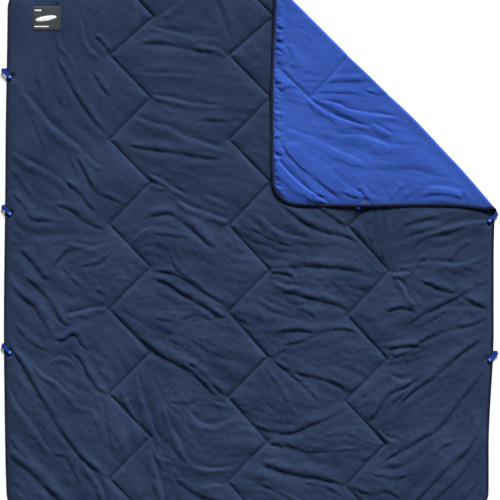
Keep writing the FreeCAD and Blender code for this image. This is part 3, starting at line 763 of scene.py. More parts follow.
def fullness(s, t):
    """0 under the binding and at each snap, 1 where the padding is full."""
    inside = edge_distance(s, t) - HEM_WIDTH
    full = 1 - np.exp(-np.maximum(inside, 0) / EDGE_RISE)
    for x, y in SNAP_PLACES:
        full = full * smooth((np.hypot(s - x, t - y) - SNAP_RADIUS) / SNAP_RISE)
    return full


def seam_groove(distance, narrow, broad):
    """The depth of a stitched groove: a sharp line in a soft channel."""
    return narrow * np.exp(-distance / (6 * MM)) + broad * np.exp(-distance / (24 * MM))


def soft_floor(z, lowest, softness):
    """z, bent so that it never goes below lowest."""
    return lowest + softness * np.logaddexp(0, (z - lowest) / softness)


SHELL_TOP = 13.4 * MM
SHELL_LOWEST = 4.2 * MM
LINING_LOWEST = 0.25 * MM


def shell_height(s, t):
    """The flat height of the navy upper cloth."""
    hem = hem_height(s, t) + CLOTH / 2
    full = fullness(s, t)
    distance = nearest_seam(s, t)[0]
    over = smooth(fold_share(s, t))
    hidden = np.maximum(covered(s, t), over)
    top = SHELL_TOP - 2.2 * MM * hidden
    groove = seam_groove(distance, (5.6 - 4.0 * over) * MM, (3.4 - 2.4 * hidden - 0.4 * over) * MM)
    raised = top - groove + SHELL_RELIEF.read(s, t) * (1 - 0.6 * over) + SHELL_SETTLED.read(s, t)
    z = hem + (raised - hem) * full
    bent = soft_floor(z, SHELL_LOWEST, 1.0 * MM)
    return np.where(full > 0.9, bent, z + (bent - z) * smooth(full / 0.9) * (1 - over))


def lining_height(s, t):
    """The flat height of the blue under cloth, which is the upper face of the turned-over corner."""
    hem = hem_height(s, t) - CLOTH / 2
    full = fullness(s, t)
    distance = nearest_seam(s, t)[0]
    flap = smooth(fold_share(s, t))
    base = (0.5 + 4.4 * flap) * MM
    groove = seam_groove(distance, (2.3 + 0.2 * flap) * MM, (0.6 + 0.1 * flap) * MM)
    lowered = base + groove - LINING_RELIEF.read(s, t) * (0.35 + 0.75 * flap)
    z = hem + (lowered - hem) * full + FLAP_SETTLED.read(s, t)
    return soft_floor(z, LINING_LOWEST, 0.5 * MM)


# ---------------------------------------------------------------- mesh building
def new_piece(name, vertices, faces, material, flat=None):
    """A smooth mesh object. flat is each vertex's place on the flat cloth, for the material."""
    mesh = bpy.data.meshes.new(name)
    mesh.from_pydata(np.asarray(vertices).tolist(), [], np.asarray(faces).tolist())
    mesh.update()
    mesh.polygons.foreach_set("use_smooth", np.ones(len(mesh.polygons), bool))
    if flat is not None:
        corners = np.zeros(len(mesh.loops), np.int32)
        mesh.loops.foreach_get("vertex_index", corners)
        layer = mesh.uv_layers.new(name="cloth")
        layer.data.foreach_set("uv", np.asarray(flat, np.float32)[corners].ravel())
    piece = bpy.data.objects.new(name, mesh)
    bpy.context.scene.collection.objects.link(piece)
    piece.data.materials.append(material)
    return piece


def grid_lines(cell):
    """The s of each column and the t of each row of a grid over the whole flat blanket."""
    columns = round(2 * HALF_WIDTH / cell)
    rows = round(2 * HALF_LENGTH / cell)
    return (
        np.linspace(-HALF_WIDTH, HALF_WIDTH, columns + 1),
        np.linspace(-HALF_LENGTH, HALF_LENGTH, rows + 1),
    )


def cloth_grid(cell, wanted):
    """A triangle grid over the part of the flat blanket where wanted(s, t) holds. Points near a quilting
    line are moved onto it, and the triangles' long sides run the way that it does."""
    s, t = np.meshgrid(*grid_lines(cell))
    inside = (edge_distance(s, t) > -0.5 * cell) & wanted(s, t)
    whole = inside[:-1, :-1] & inside[1:, :-1] & inside[:-1, 1:] & inside[1:, 1:]
    s, t = onto_outline(s, t)
    distance, near_s, near_t, falls = nearest_seam(s, t)
    snap = (distance < 0.36 * cell) & (edge_distance(s, t) > cell)
    s = np.where(snap, near_s, s)
    t = np.where(snap, near_t, t)
    number = np.arange(s.size).reshape(s.shape)
    a = number[:-1, :-1][whole]
    b = number[:-1, 1:][whole]
    c = number[1:, 1:][whole]
    d = number[1:, :-1][whole]
    down = falls[:-1, :-1][whole] > 0.5
    first = np.where(down[:, None], np.stack([a, b, d], 1), np.stack([a, b, c], 1))
    second = np.where(down[:, None], np.stack([b, c, d], 1), np.stack([a, c, d], 1))
    faces = np.concatenate([first, second])
    used, faces = np.unique(faces, return_inverse=True)
    return s.ravel()[used], t.ravel()[used], faces.reshape(-1, 3)


def grid_faces(rows, columns):
    """Two triangles for each cell of a grid with that many rows and columns of points."""
    number = np.arange(rows * columns).reshape(rows, columns)
    a = number[:-1, :-1].ravel()
    b = number[:-1, 1:].ravel()
    c = number[1:, 1:].ravel()
    d = number[1:, :-1].ravel()
    return np.concatenate([np.stack([a, b, c], 1), np.stack([a, c, d], 1)])


# ---------------------------------------------------------------- the cloth's own small folds
SETTLE_FRAMES = 20
CLOTH_SETTINGS = {
    "quality": 4,
    "mass": 0.004,
    "tension_stiffness": 400,
    "compression_stiffness": 400,
    "shear_stiffness": 160,
    "tension_damping": 1,
    "compression_damping": 1,
    "shear_damping": 1,
    "bending_stiffness": 0.5,
    "use_pressure": True,
}


def settle(settled, height, relief, kept, wanted, cell, growth, push):
    """Lets a cloth find its own small folds. It starts with the share kept of its relief. It is held by the
    seams and the hem, it is cut larger than the room between them by growth, and the padding pushes it out.
    The change of height goes into settled."""
    s, t, faces = cloth_grid(cell, wanted)
    folds = relief.values
    relief.values = kept * folds
    start = np.stack([s, t, height(s, t)], 1)
    relief.values = folds
    if height is lining_height:
        faces = faces[:, ::-1]
    piece = new_piece("settling_cloth", start, faces, bpy.data.materials.new("settling_cloth"))
    piece.shape_key_add(name="laid")
    cut = piece.shape_key_add(name="cut")
    cut.data.foreach_set("co", (start * (1 + growth[0], 1 + growth[1], 1)).ravel())
    cut.value = 0
    distance = nearest_seam(s, t)[0]
    held = (distance < 0.4 * cell) | (edge_distance(s, t) < 10 * MM)
    held = held | (fold_reach(s, t) < 20 * MM) if height is lining_height else held
    group = piece.vertex_groups.new(name="held")
    group.add(np.flatnonzero(held).tolist(), 1.0, "REPLACE")
    cloth = piece.modifiers.new("cloth", "CLOTH")
    cloth.settings.rest_shape_key = cut
    cloth.settings.vertex_group_mass = "held"
    for setting, value in CLOTH_SETTINGS.items():
        setattr(cloth.settings, setting, value)
    cloth.settings.effector_weights.gravity = 0
    cloth.settings.uniform_pressure_force = push
    cloth.collision_settings.use_collision = False
    cloth.collision_settings.use_self_collision = False
    cloth.point_cache.frame_start = 1
    cloth.point_cache.frame_end = SETTLE_FRAMES
    for frame_number in range(1, SETTLE_FRAMES + 1):
        bpy.context.scene.frame_set(frame_number)
    shaped = piece.evaluated_get(bpy.context.evaluated_depsgraph_get())
    places = np.zeros(3 * len(s), np.float32)
    shaped.data.vertices.foreach_get("co", places)
    change = places.reshape(-1, 3)[:, 2] - start[:, 2]
    bpy.data.objects.remove(piece)
    bpy.context.scene.frame_set(1)

    # The columns' spacing serves for both ways here: the rows' is the same to a few hundredths of a mm.
    line_s, line_t = grid_lines(cell)
    spacing = line_s[1] - line_s[0]
    column = np.rint((s - line_s[0]) / spacing).astype(int)
    row = np.rint((t - line_t[0]) / (line_t[1] - line_t[0])).astype(int)
    values = np.zeros((len(line_t), len(line_s)))
    values[row, column] = change
    fine = between(values, (settled.grid_s - line_s[0]) / spacing, (settled.grid_t - line_t[0]) / spacing)
    settled.values = settled.blurred(fine, 0.4 * cell)


def bend_with_corner(piece):
    """Bakes the piece's transform into its mesh. Nothing here makes it follow the turned-over corner."""
    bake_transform(piece)


# ---------------------------------------------------------------- materials
class Paint:
    """A node material, built up one node at a time."""

    def __init__(self, name, **shader):
        self.material = bpy.data.materials.new(name)
        self.material.use_nodes = True
        self.nodes = self.material.node_tree.nodes
        self.links = self.material.node_tree.links
        self.shader = self.nodes["Principled BSDF"]
        for socket, value in shader.items():
            self.shader.inputs[socket.replace("_", " ")].default_value = value

    def node(self, kind, inputs=(), **settings):
        made = self.nodes.new("ShaderNode" + kind)
        for key, value in settings.items():
            setattr(made, key, value)
        for socket, value in dict(inputs).items():
            if isinstance(value, bpy.types.NodeSocket):
                self.links.new(value, made.inputs[socket])
            else:
                made.inputs[socket].default_value = value
        return made

    def cloth_place(self, scale):
        """The place on the flat cloth, scaled."""
        place = self.node("UVMap", uv_map="cloth")
        return self.node("Mapping", {"Vector": place.outputs[0], "Scale": (scale, scale, scale)}).outputs[0]

    def object_place(self, scale):
        place = self.node("TexCoord")
        return self.node(
            "Mapping", {"Vector": place.outputs["Object"], "Scale": (scale, scale, scale)}
        ).outputs[0]

    def noise(self, place, scale, detail=3.0, roughness=0.5):
        return self.node(
            "TexNoise", {"Vector": place, "Scale": scale, "Detail": detail, "Roughness": roughness}
        ).outputs["Fac"]

    def stripes(self, place, scale, direction, distortion=0.0):
        return self.node(
            "TexWave",
            {"Vector": place, "Scale": scale, "Distortion": distortion, "Detail": 1.0},
            bands_direction=direction,
        ).outputs["Fac"]

    def math(self, operation, a, b=0.0, c=0.0):
        return self.node("Math", {0: a, 1: b, 2: c}, operation=operation).outputs[0]

    def ramp(self, value, low, high, start=0.3, end=0.7):
        made = self.node("ValToRGB", {"Fac": value})
        made.color_ramp.elements[0].position = start
        made.color_ramp.elements[0].color = (*low, 1)
        made.color_ramp.elements[1].position = end
        made.color_ramp.elements[1].color = (*high, 1)
        return made.outputs[0]

    def span(self, value, low, high):
        return self.node("MapRange", {"Value": value, "To Min": low, "To Max": high}).outputs[0]

    def finish(self, colour, roughness, height=None, strength=0.3, depth=0.0003):
        self.links.new(colour, self.shader.inputs["Base Color"])
        self.links.new(roughness, self.shader.inputs["Roughness"])
        if height is not None:
            bump = self.node("Bump", {"Height": height, "Strength": strength, "Distance": depth})
            self.links.new(bump.outputs[0], self.shader.inputs["Normal"])
        return self.material


def linear(red, green, blue):
    """A screen colour from 0 to 255 as the linear colour that a shader takes."""
    return tuple(
        (c / 255 / 12.92) if c <= 10 else ((c / 255 + 0.055) / 1.055) ** 2.4
        for c in (red, green, blue)
    )


def woven_paint(name, low, high, threads, sheen, tint, rough=(0.42, 0.6), weave=0.35):
    """A fine plain weave: threads to the metre, with soft variation of colour and shine."""
    paint = Paint(
        name, Sheen_Weight=sheen, Sheen_Roughness=0.45, Sheen_Tint=(*tint, 1), Specular_IOR_Level=0.0
    )
    place = paint.cloth_place(1.0)
    warp = paint.stripes(place, threads, "X", 0.6)
    weft = paint.stripes(place, threads, "Y", 0.6)
    cloth = paint.math("MAXIMUM", warp, weft)
    patches = paint.noise(place, 5.0, 4.0, 0.6)
    slubs = paint.noise(place, 90.0, 3.0, 0.6)
    mixed = paint.math("MULTIPLY_ADD", slubs, 0.30, paint.math("MULTIPLY", patches, 0.70))
    mixed = paint.math("MULTIPLY_ADD", cloth, 0.06, mixed)
    colour = paint.ramp(mixed, low, high, 0.36, 0.70)
    rub = paint.noise(place, 14.0, 3.0)
    roughness = paint.span(rub, *rough)
    crinkle = paint.noise(place, 160.0, 4.0, 0.62)
    height = paint.math("MULTIPLY_ADD", crinkle, 1.6, paint.math("MULTIPLY", cloth, 0.35))
    return paint.finish(colour, roughness, height, weave, 0.6 * MM)


NAVY = woven_paint(
    "navy_face", linear(33, 45, 68), linear(46, 58, 84), 330, 0.08, (0.35, 0.5, 0.8), (0.58, 0.72)
)
LINING_BLUE = woven_paint(
    "blue_lining", linear(45, 72, 151), linear(54, 85, 168), 330, 0.09, (0.5, 0.6, 1.0), (0.5, 0.64)
)


def padding_paint():
    paint = Paint("padding", Sheen_Weight=0.3)
    place = paint.cloth_place(1.0)
    tufts = paint.noise(place, 60.0, 5.0, 0.7)
    strands = paint.noise(place, 400.0, 4.0, 0.7)
    colour = paint.ramp(tufts, (0.62, 0.62, 0.6), (0.86, 0.86, 0.84))
    return paint.finish(colour, paint.span(strands, 0.8, 1.0), strands, 0.8, 1.5 * MM)


def tape_paint(name, low, high, ribs, rough, sheen=0.15):
    """A narrow woven tape with ribs across it."""
    paint = Paint(name, Sheen_Weight=sheen, Specular_IOR_Level=0.15)
    place = paint.cloth_place(1.0)
    ribbing = paint.stripes(place, ribs, "X", 0.3)
    wear = paint.noise(place, 35.0, 4.0, 0.6)
    mixed = paint.math("MULTIPLY_ADD", ribbing, 0.25, paint.math("MULTIPLY", wear, 0.75))
    colour = paint.ramp(mixed, low, high)
    roughness = paint.span(paint.noise(place, 120.0), *rough)
    return paint.finish(colour, roughness, ribbing, 0.5, 0.3 * MM)


def thread_paint(name, low, high):
    paint = Paint(name, Sheen_Weight=0.2)
    place = paint.object_place(1.0)
    twist = paint.stripes(place, 900.0, "DIAGONAL", 0.5)
    tone = paint.noise(place, 60.0)
    colour = paint.ramp(paint.math("MULTIPLY_ADD", twist, 0.3, paint.math("MULTIPLY", tone, 0.7)), low, high)
    return paint.finish(colour, paint.span(tone, 0.45, 0.65), twist, 0.5, 0.15 * MM)


PADDING = padding_paint()
TAPE = tape_paint("binding_tape", linear(9, 15, 36), linear(18, 28, 58), 420, (0.6, 0.8), 0.02)
RIBBON = tape_paint("blue_ribbon", linear(8, 36, 104), linear(14, 56, 142), 300, (0.5, 0.7), 0.02)
NAVY_THREAD = thread_paint("navy_thread", linear(18, 25, 42), linear(36, 46, 70))
BLUE_THREAD = thread_paint("blue_thread", linear(28, 50, 120), linear(48, 76, 160))
PALE_THREAD = thread_paint("pale_thread", linear(205, 208, 212), linear(240, 240, 240))


def label_paint():
    paint = Paint("label_cloth", Sheen_Weight=0.1)
    place = paint.cloth_place(1.0)
    warp = paint.stripes(place, 260.0, "X", 0.2)
    weft = paint.stripes(place, 260.0, "Y", 0.2)
    weave = paint.math("MAXIMUM", warp, weft)
    tone = paint.noise(place, 70.0, 4.0)
    mixed = paint.math("MULTIPLY_ADD", weave, 0.35, paint.math("MULTIPLY", tone, 0.65))
    colour = paint.ramp(mixed, linear(13, 14, 18), linear(34, 36, 42))
    return paint.finish(colour, paint.span(tone, 0.5, 0.75), weave, 0.6, 0.25 * MM)


def cap_paint():
    paint = Paint("blue_snap_cap", Coat_Weight=0.1, Coat_Roughness=0.3, Specular_IOR_Level=0.35)
    place = paint.object_place(1.0)
    cloud = paint.noise(place, 220.0, 3.0)
    scuff = paint.noise(place, 900.0, 5.0, 0.7)
    colour = paint.ramp(cloud, linear(62, 104, 190), linear(84, 130, 208))
    return paint.finish(colour, paint.span(scuff, 0.38, 0.55), scuff, 0.25, 0.08 * MM)


def steel_paint():
    paint = Paint("snap_steel", Metallic=1.0)
    place = paint.object_place(1.0)
    brush = paint.noise(place, 1400.0, 4.0, 0.65)
    patina = paint.noise(place, 260.0, 3.0)
    colour = paint.ramp(patina, (0.52, 0.53, 0.55), (0.80, 0.80, 0.81))
    return paint.finish(colour, paint.span(brush, 0.18, 0.38), brush, 0.3, 0.04 * MM)


LABEL = label_paint()
SNAP_CAP = cap_paint()
STEEL = steel_paint()


# ---------------------------------------------------------------- cloth pieces
SHELL_CELL = 4.7 * MM
LINING_CELL = 5.72 * MM
CORNER_CELL = 2.84 * MM

# Each cloth is in two panels, which overlap just short of the fold: the blanket's ends at MAIN_END past the
# fold line, and the corner's starts at CORNER_START.
MAIN_END = -FOLD_REACH - 4 * MM
CORNER_START = -FOLD_REACH - 13 * MM


def on_main(s, t):
    """Whether a flat point is on the blanket's own panels."""
    return fold_reach(s, t) < MAIN_END


def on_corner(s, t):
    """Whether a flat point is on the corner's panels."""
    return fold_reach(s, t) > CORNER_START


settle(SHELL_SETTLED, shell_height, SHELL_RELIEF, 1.0, on_main, 9 * MM, (0.02, 0.08), 0.30)
settle(FLAP_SETTLED, lining_height, LINING_RELIEF, 0.5, on_corner, 7 * MM, (0.05, 0.02), 0.12)


def cloth_panel(name, cell, wanted, height, nodes):
    """One cloth's panel on the blanket or on the corner, in place of those CAD nodes."""
    s, t, faces = cloth_grid(cell, wanted)
    vertices = fold_over(s, t, height(s, t))
    if height is lining_height:
        faces = faces[:, ::-1]
        material, slot = LINING_BLUE, "blue_lining"
    else:
        material, slot = NAVY, "navy_face"
    piece = new_piece(name, vertices, faces, material, np.stack([s, t], 1))
    if wanted is on_main:
        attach(piece, "blanket")
    else:
        bend_with_corner(piece)
    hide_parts(*nodes)
    return piece


shell = cloth_panel("shell", SHELL_CELL, on_main, shell_height, ["shell_panel"])
lining = cloth_panel("lining", LINING_CELL, on_main, lining_height, ["lining_panel"])
corner_shell = cloth_panel(
    "shell_corner", CORNER_CELL, on_corner, shell_height, ["fold_shell", "corner_shell"]
)
corner_lining = cloth_panel(
    "lining_corner", CORNER_CELL, on_corner, lining_height, ["fold_lining", "corner_lining"]
)


# ---------------------------------------------------------------- padding between the cloths
PADDING_CELL = 9.5 * MM
PADDING_INSET = 18 * MM
UNDER_SHELL = 1.0 * MM
OVER_LINING = 0.8 * MM
HALF_THINNEST = 0.2 * MM

# The fold's lower right end, where the cloths are pinched together without padding.
PINCH_REACH = 36 * MM
PINCH_START = 0.74


def furthest(height, s, t, pick):
    """The lowest or highest value of a height round a point, so that coarse faces don't come through it."""
    steps = PADDING_CELL * np.array([-0.5, -0.25, 0, 0.25, 0.5])
    return pick.reduce([height(s + step_s, t + step_t) for step_s in steps for step_t in steps])


def open_edges(faces):
    """The edges that only one triangle has, each in that triangle's own order."""
    edges = np.concatenate([faces[:, [0, 1]], faces[:, [1, 2]], faces[:, [2, 0]]])
    keys = np.sort(edges, axis=1)
    _, first, count = np.unique(keys, axis=0, return_index=True, return_counts=True)
    return edges[first[count == 1]]


def closed_faces(faces, count):
    """Faces of an upper layer, a lower layer whose vertices come count later, and the rim between them."""
    rim = open_edges(faces)
    walls = np.concatenate([
        np.stack([rim[:, 1], rim[:, 0], rim[:, 0] + count], 1),
        np.stack([rim[:, 1], rim[:, 0] + count, rim[:, 1] + count], 1),
    ])
    return np.concatenate([faces, faces[:, ::-1] + count, walls])


def is_padded(s, t):
    """Inside the binding, and not at the pinched end of the fold."""
    pinched = (np.abs(fold_reach(s, t)) < PINCH_REACH) & (s > PINCH_START)
    return (edge_distance(s, t) > PADDING_INSET) & ~pinched


def make_padding():
    """The padding as one closed body between the two cloths, all over the blanket and its corner."""
    s, t, faces = cloth_grid(PADDING_CELL, is_padded)
    upper = furthest(shell_height, s, t, np.minimum) - UNDER_SHELL
    lower = furthest(lining_height, s, t, np.maximum) + OVER_LINING
    middle = (upper + lower) / 2
    upper = np.maximum(upper, middle + HALF_THINNEST)
    lower = np.minimum(lower, middle - HALF_THINNEST)
    vertices = np.concatenate([fold_over(s, t, upper), fold_over(s, t, lower)])
    flat = np.tile(np.stack([s, t], 1), (2, 1))
    piece = new_piece("padding", vertices, closed_faces(faces, len(s)), PADDING, flat)
    bend_with_corner(piece)
    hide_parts("insulation_batt", "fold_batt", "corner_batt")
    return piece


padding = make_padding()


# ---------------------------------------------------------------- bound edge
def outline_walk(inset, spacing):
    """Points round the blanket, inset from its outline, with the inward direction at each."""
    radius = CORNER_RADIUS
    places = []
    inward = []
    for quarter in range(4):
        start = math.pi / 2 * quarter
        centre_s = (HALF_WIDTH - radius) * (1 if quarter in (0, 3) else -1)
        centre_t = (HALF_LENGTH - radius) * (1 if quarter in (0, 1) else -1)
        steps = round(radius * math.pi / 2 / spacing)
        for k in range(steps):
            turn = start + math.pi / 2 * k / steps
            normal = (math.cos(turn), math.sin(turn))
            places.append((
                centre_s + (radius - inset) * normal[0],
                centre_t + (radius - inset) * normal[1],
            ))
            inward.append((-normal[0], -normal[1]))
        side = HALF_WIDTH if quarter in (0, 2) else HALF_LENGTH
        length = 2 * (side - radius)
        steps = round(length / spacing)
        normal = (round(math.cos(start + math.pi / 2)), round(math.sin(start + math.pi / 2)))
        travel = (-normal[1], normal[0])
        first_s = centre_s + (radius - inset) * normal[0]
        first_t = centre_t + (radius - inset) * normal[1]
        for k in range(steps):
            along = length * k / steps
            places.append((first_s + travel[0] * along, first_t + travel[1] * along))
            inward.append((-normal[0], -normal[1]))
    return np.array(places), np.array(inward)


BINDING_WIDTH = 9.5 * MM
TAPE_STEP = 3.4 * MM

# The folded tape's section, in mm: how far in from the edge, and how far above the hem's middle.
TAPE_SECTION = [
    (9.5, 1.15), (8.6, 1.45), (6.0, 1.75), (3.2, 1.85), (1.0, 1.55), (-0.3, 0.85), (-0.7, 0.0),
    (-0.3, -0.85), (1.0, -1.45), (3.2, -1.6), (6.0, -1.55), (8.6, -1.4), (9.5, -1.15),
    (9.3, -0.7), (5.0, -0.75), (1.4, -0.5), (0.9, 0.0), (1.4, 0.5), (5.0, 0.75), (9.3, 0.7),
]


def make_binding():
    """The folded tape that is sewn round the whole edge, puckered a little by its stitching."""
    places, inward = outline_walk(0, TAPE_STEP)
    section = np.array(TAPE_SECTION) * MM
    count = len(places)
    size = len(section)
    walk = np.arange(count) * TAPE_STEP
    pucker = 0.22 * np.sin(walk * 2 * math.pi / (13 * MM))
    pucker = pucker + 0.35 * np.sin(walk * 2 * math.pi / (61 * MM))
    widen = (pucker * MM)[:, None] * (section[:, 0] / BINDING_WIDTH)
    puff = 1 + 0.10 * np.sin(walk * 2 * math.pi / (17 * MM) + 1.0)
    s = places[:, :1] + inward[:, :1] * (section[:, 0] + widen)
    t = places[:, 1:] + inward[:, 1:] * (section[:, 0] + widen)
    hem = hem_height(places[:, 0], places[:, 1])[:, None]
    z = hem + section[:, 1] * puff[:, None]
    s, t = s.ravel(), t.ravel()
    vertices = fold_over(s, t, z.ravel())
    ring = np.arange(size)
    here = (np.arange(count) * size)[:, None]
    there = (np.roll(np.arange(count), -1) * size)[:, None]
    after = np.roll(ring, -1)
    faces = np.stack(
        [here + ring, here + after, there + after, there + ring], axis=-1
    ).reshape(-1, 4)
    run = np.concatenate([[0], np.cumsum(np.abs(np.diff(section, axis=0)).sum(1))])
    flat = np.stack([np.repeat(walk, size), np.tile(run, count)], 1)
    piece = new_piece("edge_tape", vertices, faces, TAPE, flat)
    bend_with_corner(piece)
    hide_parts("edge_binding", "fold_binding", "corner_binding")


make_binding()


# ---------------------------------------------------------------- stitching
# One stitch: the stations along it as shares of its length, and its half width and its rise at each of them
# as shares of its radius.
STITCH_STATIONS = np.array([-0.5, -0.44, -0.2, 0.2, 0.44, 0.5])
STITCH_WIDTHS = np.array([0.2, 0.75, 1.0, 1.0, 0.75, 0.2])
STITCH_RISE = np.array([-0.9, -0.2, 0.25, 0.25, -0.2, -0.9])
STITCH_SIDES = 5


def make_stitches(name, centres, headings, height, up, material, length=3.6 * MM, radius=0.42 * MM):
    """Raised stitches on a cloth. height gives the cloth's own height, and up is 1 above it, -1 below it."""
    centres = np.asarray(centres)
    headings = np.asarray(headings)
    stations = STITCH_STATIONS * length
    line_s = centres[:, :1] + headings[:, :1] * stations
    line_t = centres[:, 1:] + headings[:, 1:] * stations
    ground = height(line_s, line_t) + up * (STITCH_RISE + 0.35) * radius
    angle = 2 * math.pi * np.arange(STITCH_SIDES) / STITCH_SIDES
    wide = STITCH_WIDTHS[:, None] * radius * np.cos(angle)
    tall = STITCH_WIDTHS[:, None] * radius * np.sin(angle)
    s = line_s[..., None] - headings[:, 1, None, None] * wide
    t = line_t[..., None] + headings[:, 0, None, None] * wide
    z = ground[..., None] + tall
    s, t, z = s.ravel(), t.ravel(), z.ravel()
    rings = len(STITCH_STATIONS)
    ring = np.arange(STITCH_SIDES)
    after = np.roll(ring, -1)
    faces = []
    for k in range(rings - 1):
        low = k * STITCH_SIDES
        high = low + STITCH_SIDES
        for i, j in zip(ring, after):
            faces.append((low + i, low + j, high + j))
            faces.append((low + i, high + j, high + i))
    last = (rings - 1) * STITCH_SIDES
    for i in range(1, STITCH_SIDES - 1):
        faces.append((0, i + 1, i))
        faces.append((last, last + i, last + i + 1))
    starts = np.arange(len(centres)) * rings * STITCH_SIDES
    every = (starts[:, None, None] + np.array(faces)[None]).reshape(-1, 3)
    piece = new_piece(name, fold_over(s, t, z), every, material)
    return piece, fold_turn(s, t)


def seam_stitches(column, pitch=5.2 * MM):
    """The middle and heading of each stitch along one quilting line."""
    centres = []
    headings = []
    for (x0, y0), (x1, y1) in zigzag_pieces(column):
        length = math.hypot(x1 - x0, y1 - y0)
        heading = ((x1 - x0) / length, (y1 - y0) / length)
        count = int(length / pitch)
        for k in range(count):
            along = (k + 0.5) * length / count
            centres.append((x0 + heading[0] * along, y0 + heading[1] * along))
            headings.append(heading)
    return centres, headings


def stitch_quilting():
    """The three quilting lines, each as stitches on the shell and stitches on the lining."""
    nodes = ("quilt_stitching_left", "quilt_stitching_centre", "quilt_stitching_right")
    for node, column in zip(nodes, QUILT_COLUMNS):
        centres, headings = seam_stitches(column)
        side = node.rsplit("_", 1)[1]
        for layer, height, up, paint, slot in (
            ("shell", shell_height, 1, NAVY_THREAD, "navy_thread"),
            ("lining", lining_height, -1, BLUE_THREAD, "blue_thread"),
        ):
            piece, share = make_stitches(f"{layer}_quilting_{side}", centres, headings, height, up, paint)
            if share.max() > 0:
                bend_with_corner(piece)
            else:
                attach(piece, "blanket")
            if layer == "shell":
                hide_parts(node)
            elif side == "right":
                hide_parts("corner_quilt_stitching")


stitch_quilting()


def stitch_binding():
    """The row of stitches that holds the tape, on its upper and its lower face."""
    places, inward = outline_walk(7.4 * MM, 5.0 * MM)
    headings = np.stack([-inward[:, 1], inward[:, 0]], 1)
    for name, up, node in (
        ("tape_stitches_upper", 1, "binding_stitching"),
        ("tape_stitches_lower", -1, "corner_binding_stitching"),
    ):

        def tape_face(s, t, up=up):
            return hem_height(s, t) + up * 1.5 * MM

        piece, share = make_stitches(name, places, headings, tape_face, up, NAVY_THREAD, 3.2 * MM, 0.4 * MM)
        bend_with_corner(piece)
        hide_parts(node)


stitch_binding()


# ---------------------------------------------------------------- woven label
LABEL_THICK = 0.8 * MM
LABEL_CELL = 2.5 * MM
LABEL_GAP = 0.25 * MM


def label_surface(s, t):
    """The label's upper face. It follows the cloth and curls up a little along its right side."""
    across = (s - label_low.x) / (label_high.x - label_low.x)
    curl = 1.6 * MM * smooth((across - 0.90) / 0.10)
    return shell_height(s, t) + LABEL_GAP + LABEL_THICK + curl


def make_label():
    """The woven patch, a closed sheet that lies on the shell."""
    low, high = label_low, label_high
    columns = round((high.x - low.x) / LABEL_CELL)
    rows = round((high.y - low.y) / LABEL_CELL)
    s, t = np.meshgrid(np.linspace(low.x, high.x, columns + 1), np.linspace(low.y, high.y, rows + 1))
    faces = grid_faces(rows + 1, columns + 1)
    s, t = s.ravel(), t.ravel()
    top = label_surface(s, t)
    rim = np.minimum(np.minimum(s - low.x, high.x - s), np.minimum(t - low.y, high.y - t))
    top = top - 0.35 * MM * (rim < 0.5 * MM)
    vertices = np.concatenate([fold_over(s, t, top), fold_over(s, t, label_surface(s, t) - LABEL_THICK)])
    flat = np.tile(np.stack([s, t], 1), (2, 1))
    piece = new_piece("label_patch", vertices, closed_faces(faces, len(s)), LABEL, flat)
    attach(piece, "blanket")
    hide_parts("woven_label")


def stitch_label():
    """A row of stitches round the label, just inside its edge."""
    low, high = label_low, label_high
    inset = 2.6 * MM
    pitch = 3.6 * MM
    centres = []
    headings = []
    for start, end in (
        ((low.x, low.y), (high.x, low.y)),
        ((high.x, low.y), (high.x, high.y)),
        ((high.x, high.y), (low.x, high.y)),
        ((low.x, high.y), (low.x, low.y)),
    ):
        start, end = np.array(start), np.array(end)
        heading = (end - start) / np.linalg.norm(end - start)
        inward = np.array([-heading[1], heading[0]])
        first = start + (heading + inward) * inset
        run = np.linalg.norm(end - start) - 2 * inset
        count = int(run / pitch)
        for k in range(count):
            centres.append(first + heading * (k + 0.5) * run / count)
            headings.append(heading)
    piece, _ = make_stitches(
        "label_stitches", centres, headings, label_surface, 1, NAVY_THREAD, 2.6 * MM, 0.32 * MM
    )
    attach(piece, "blanket")
    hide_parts("label_stitching")


def make_label_figure():
    """A plain figure in satin stitch: a leaning oval between two bars, all of it closely laid threads."""
    middle_s = (label_low.x + label_high.x) / 2
    middle_t = (label_low.y + label_high.y) / 2
    centres = []
    headings = []
    lengths = []
    lean = 0.16
    pitch = 0.9 * MM
    oval_reach = 39 * MM
    oval_height = 10.5 * MM
    for along in np.arange(-oval_reach, oval_reach, pitch):
        half = oval_height * math.sqrt(max(1 - (along / oval_reach) ** 2, 0))
        if half < 1.0 * MM:
            continue
        centres.append((middle_s - 2 * MM + along, middle_t + along * lean))
        headings.append((-lean, 1.0))
        lengths.append(2 * half)
    for left, right, level, tall in ((-45, -20, 30, 6), (-45, 9, -31, 5)):
        for along in np.arange(left * MM, right * MM, pitch):
            centres.append((middle_s + along, middle_t + level * MM))
            headings.append((0.0, 1.0))
            lengths.append(tall * MM)
    headings = np.array(headings)
    headings /= np.linalg.norm(headings, axis=1)[:, None]
    piece, _ = make_stitches(
        "label_figure", centres, headings, label_surface, 1, PALE_THREAD,
        np.array(lengths)[:, None], 0.5 * MM,
    )
    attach(piece, "blanket")


make_label()
stitch_label()
make_label_figure()


# ---------------------------------------------------------------- ribbon loops and snaps
RIBBON_WIDTH = 13.5 * MM
RIBBON_THICK = 1.1 * MM
RIBBON_ROOT = 8.8 * MM
RIBBON_CREASE = 12 * MM
RIBBON_LENGTH = 47.6 * MM
RIBBON_TURN = 3.0 * MM
RIBBON_AXIS = 5.8 * MM
CREASE_TILT = math.radians(22.5)
CREASE_LEAN = math.tan(CREASE_TILT)


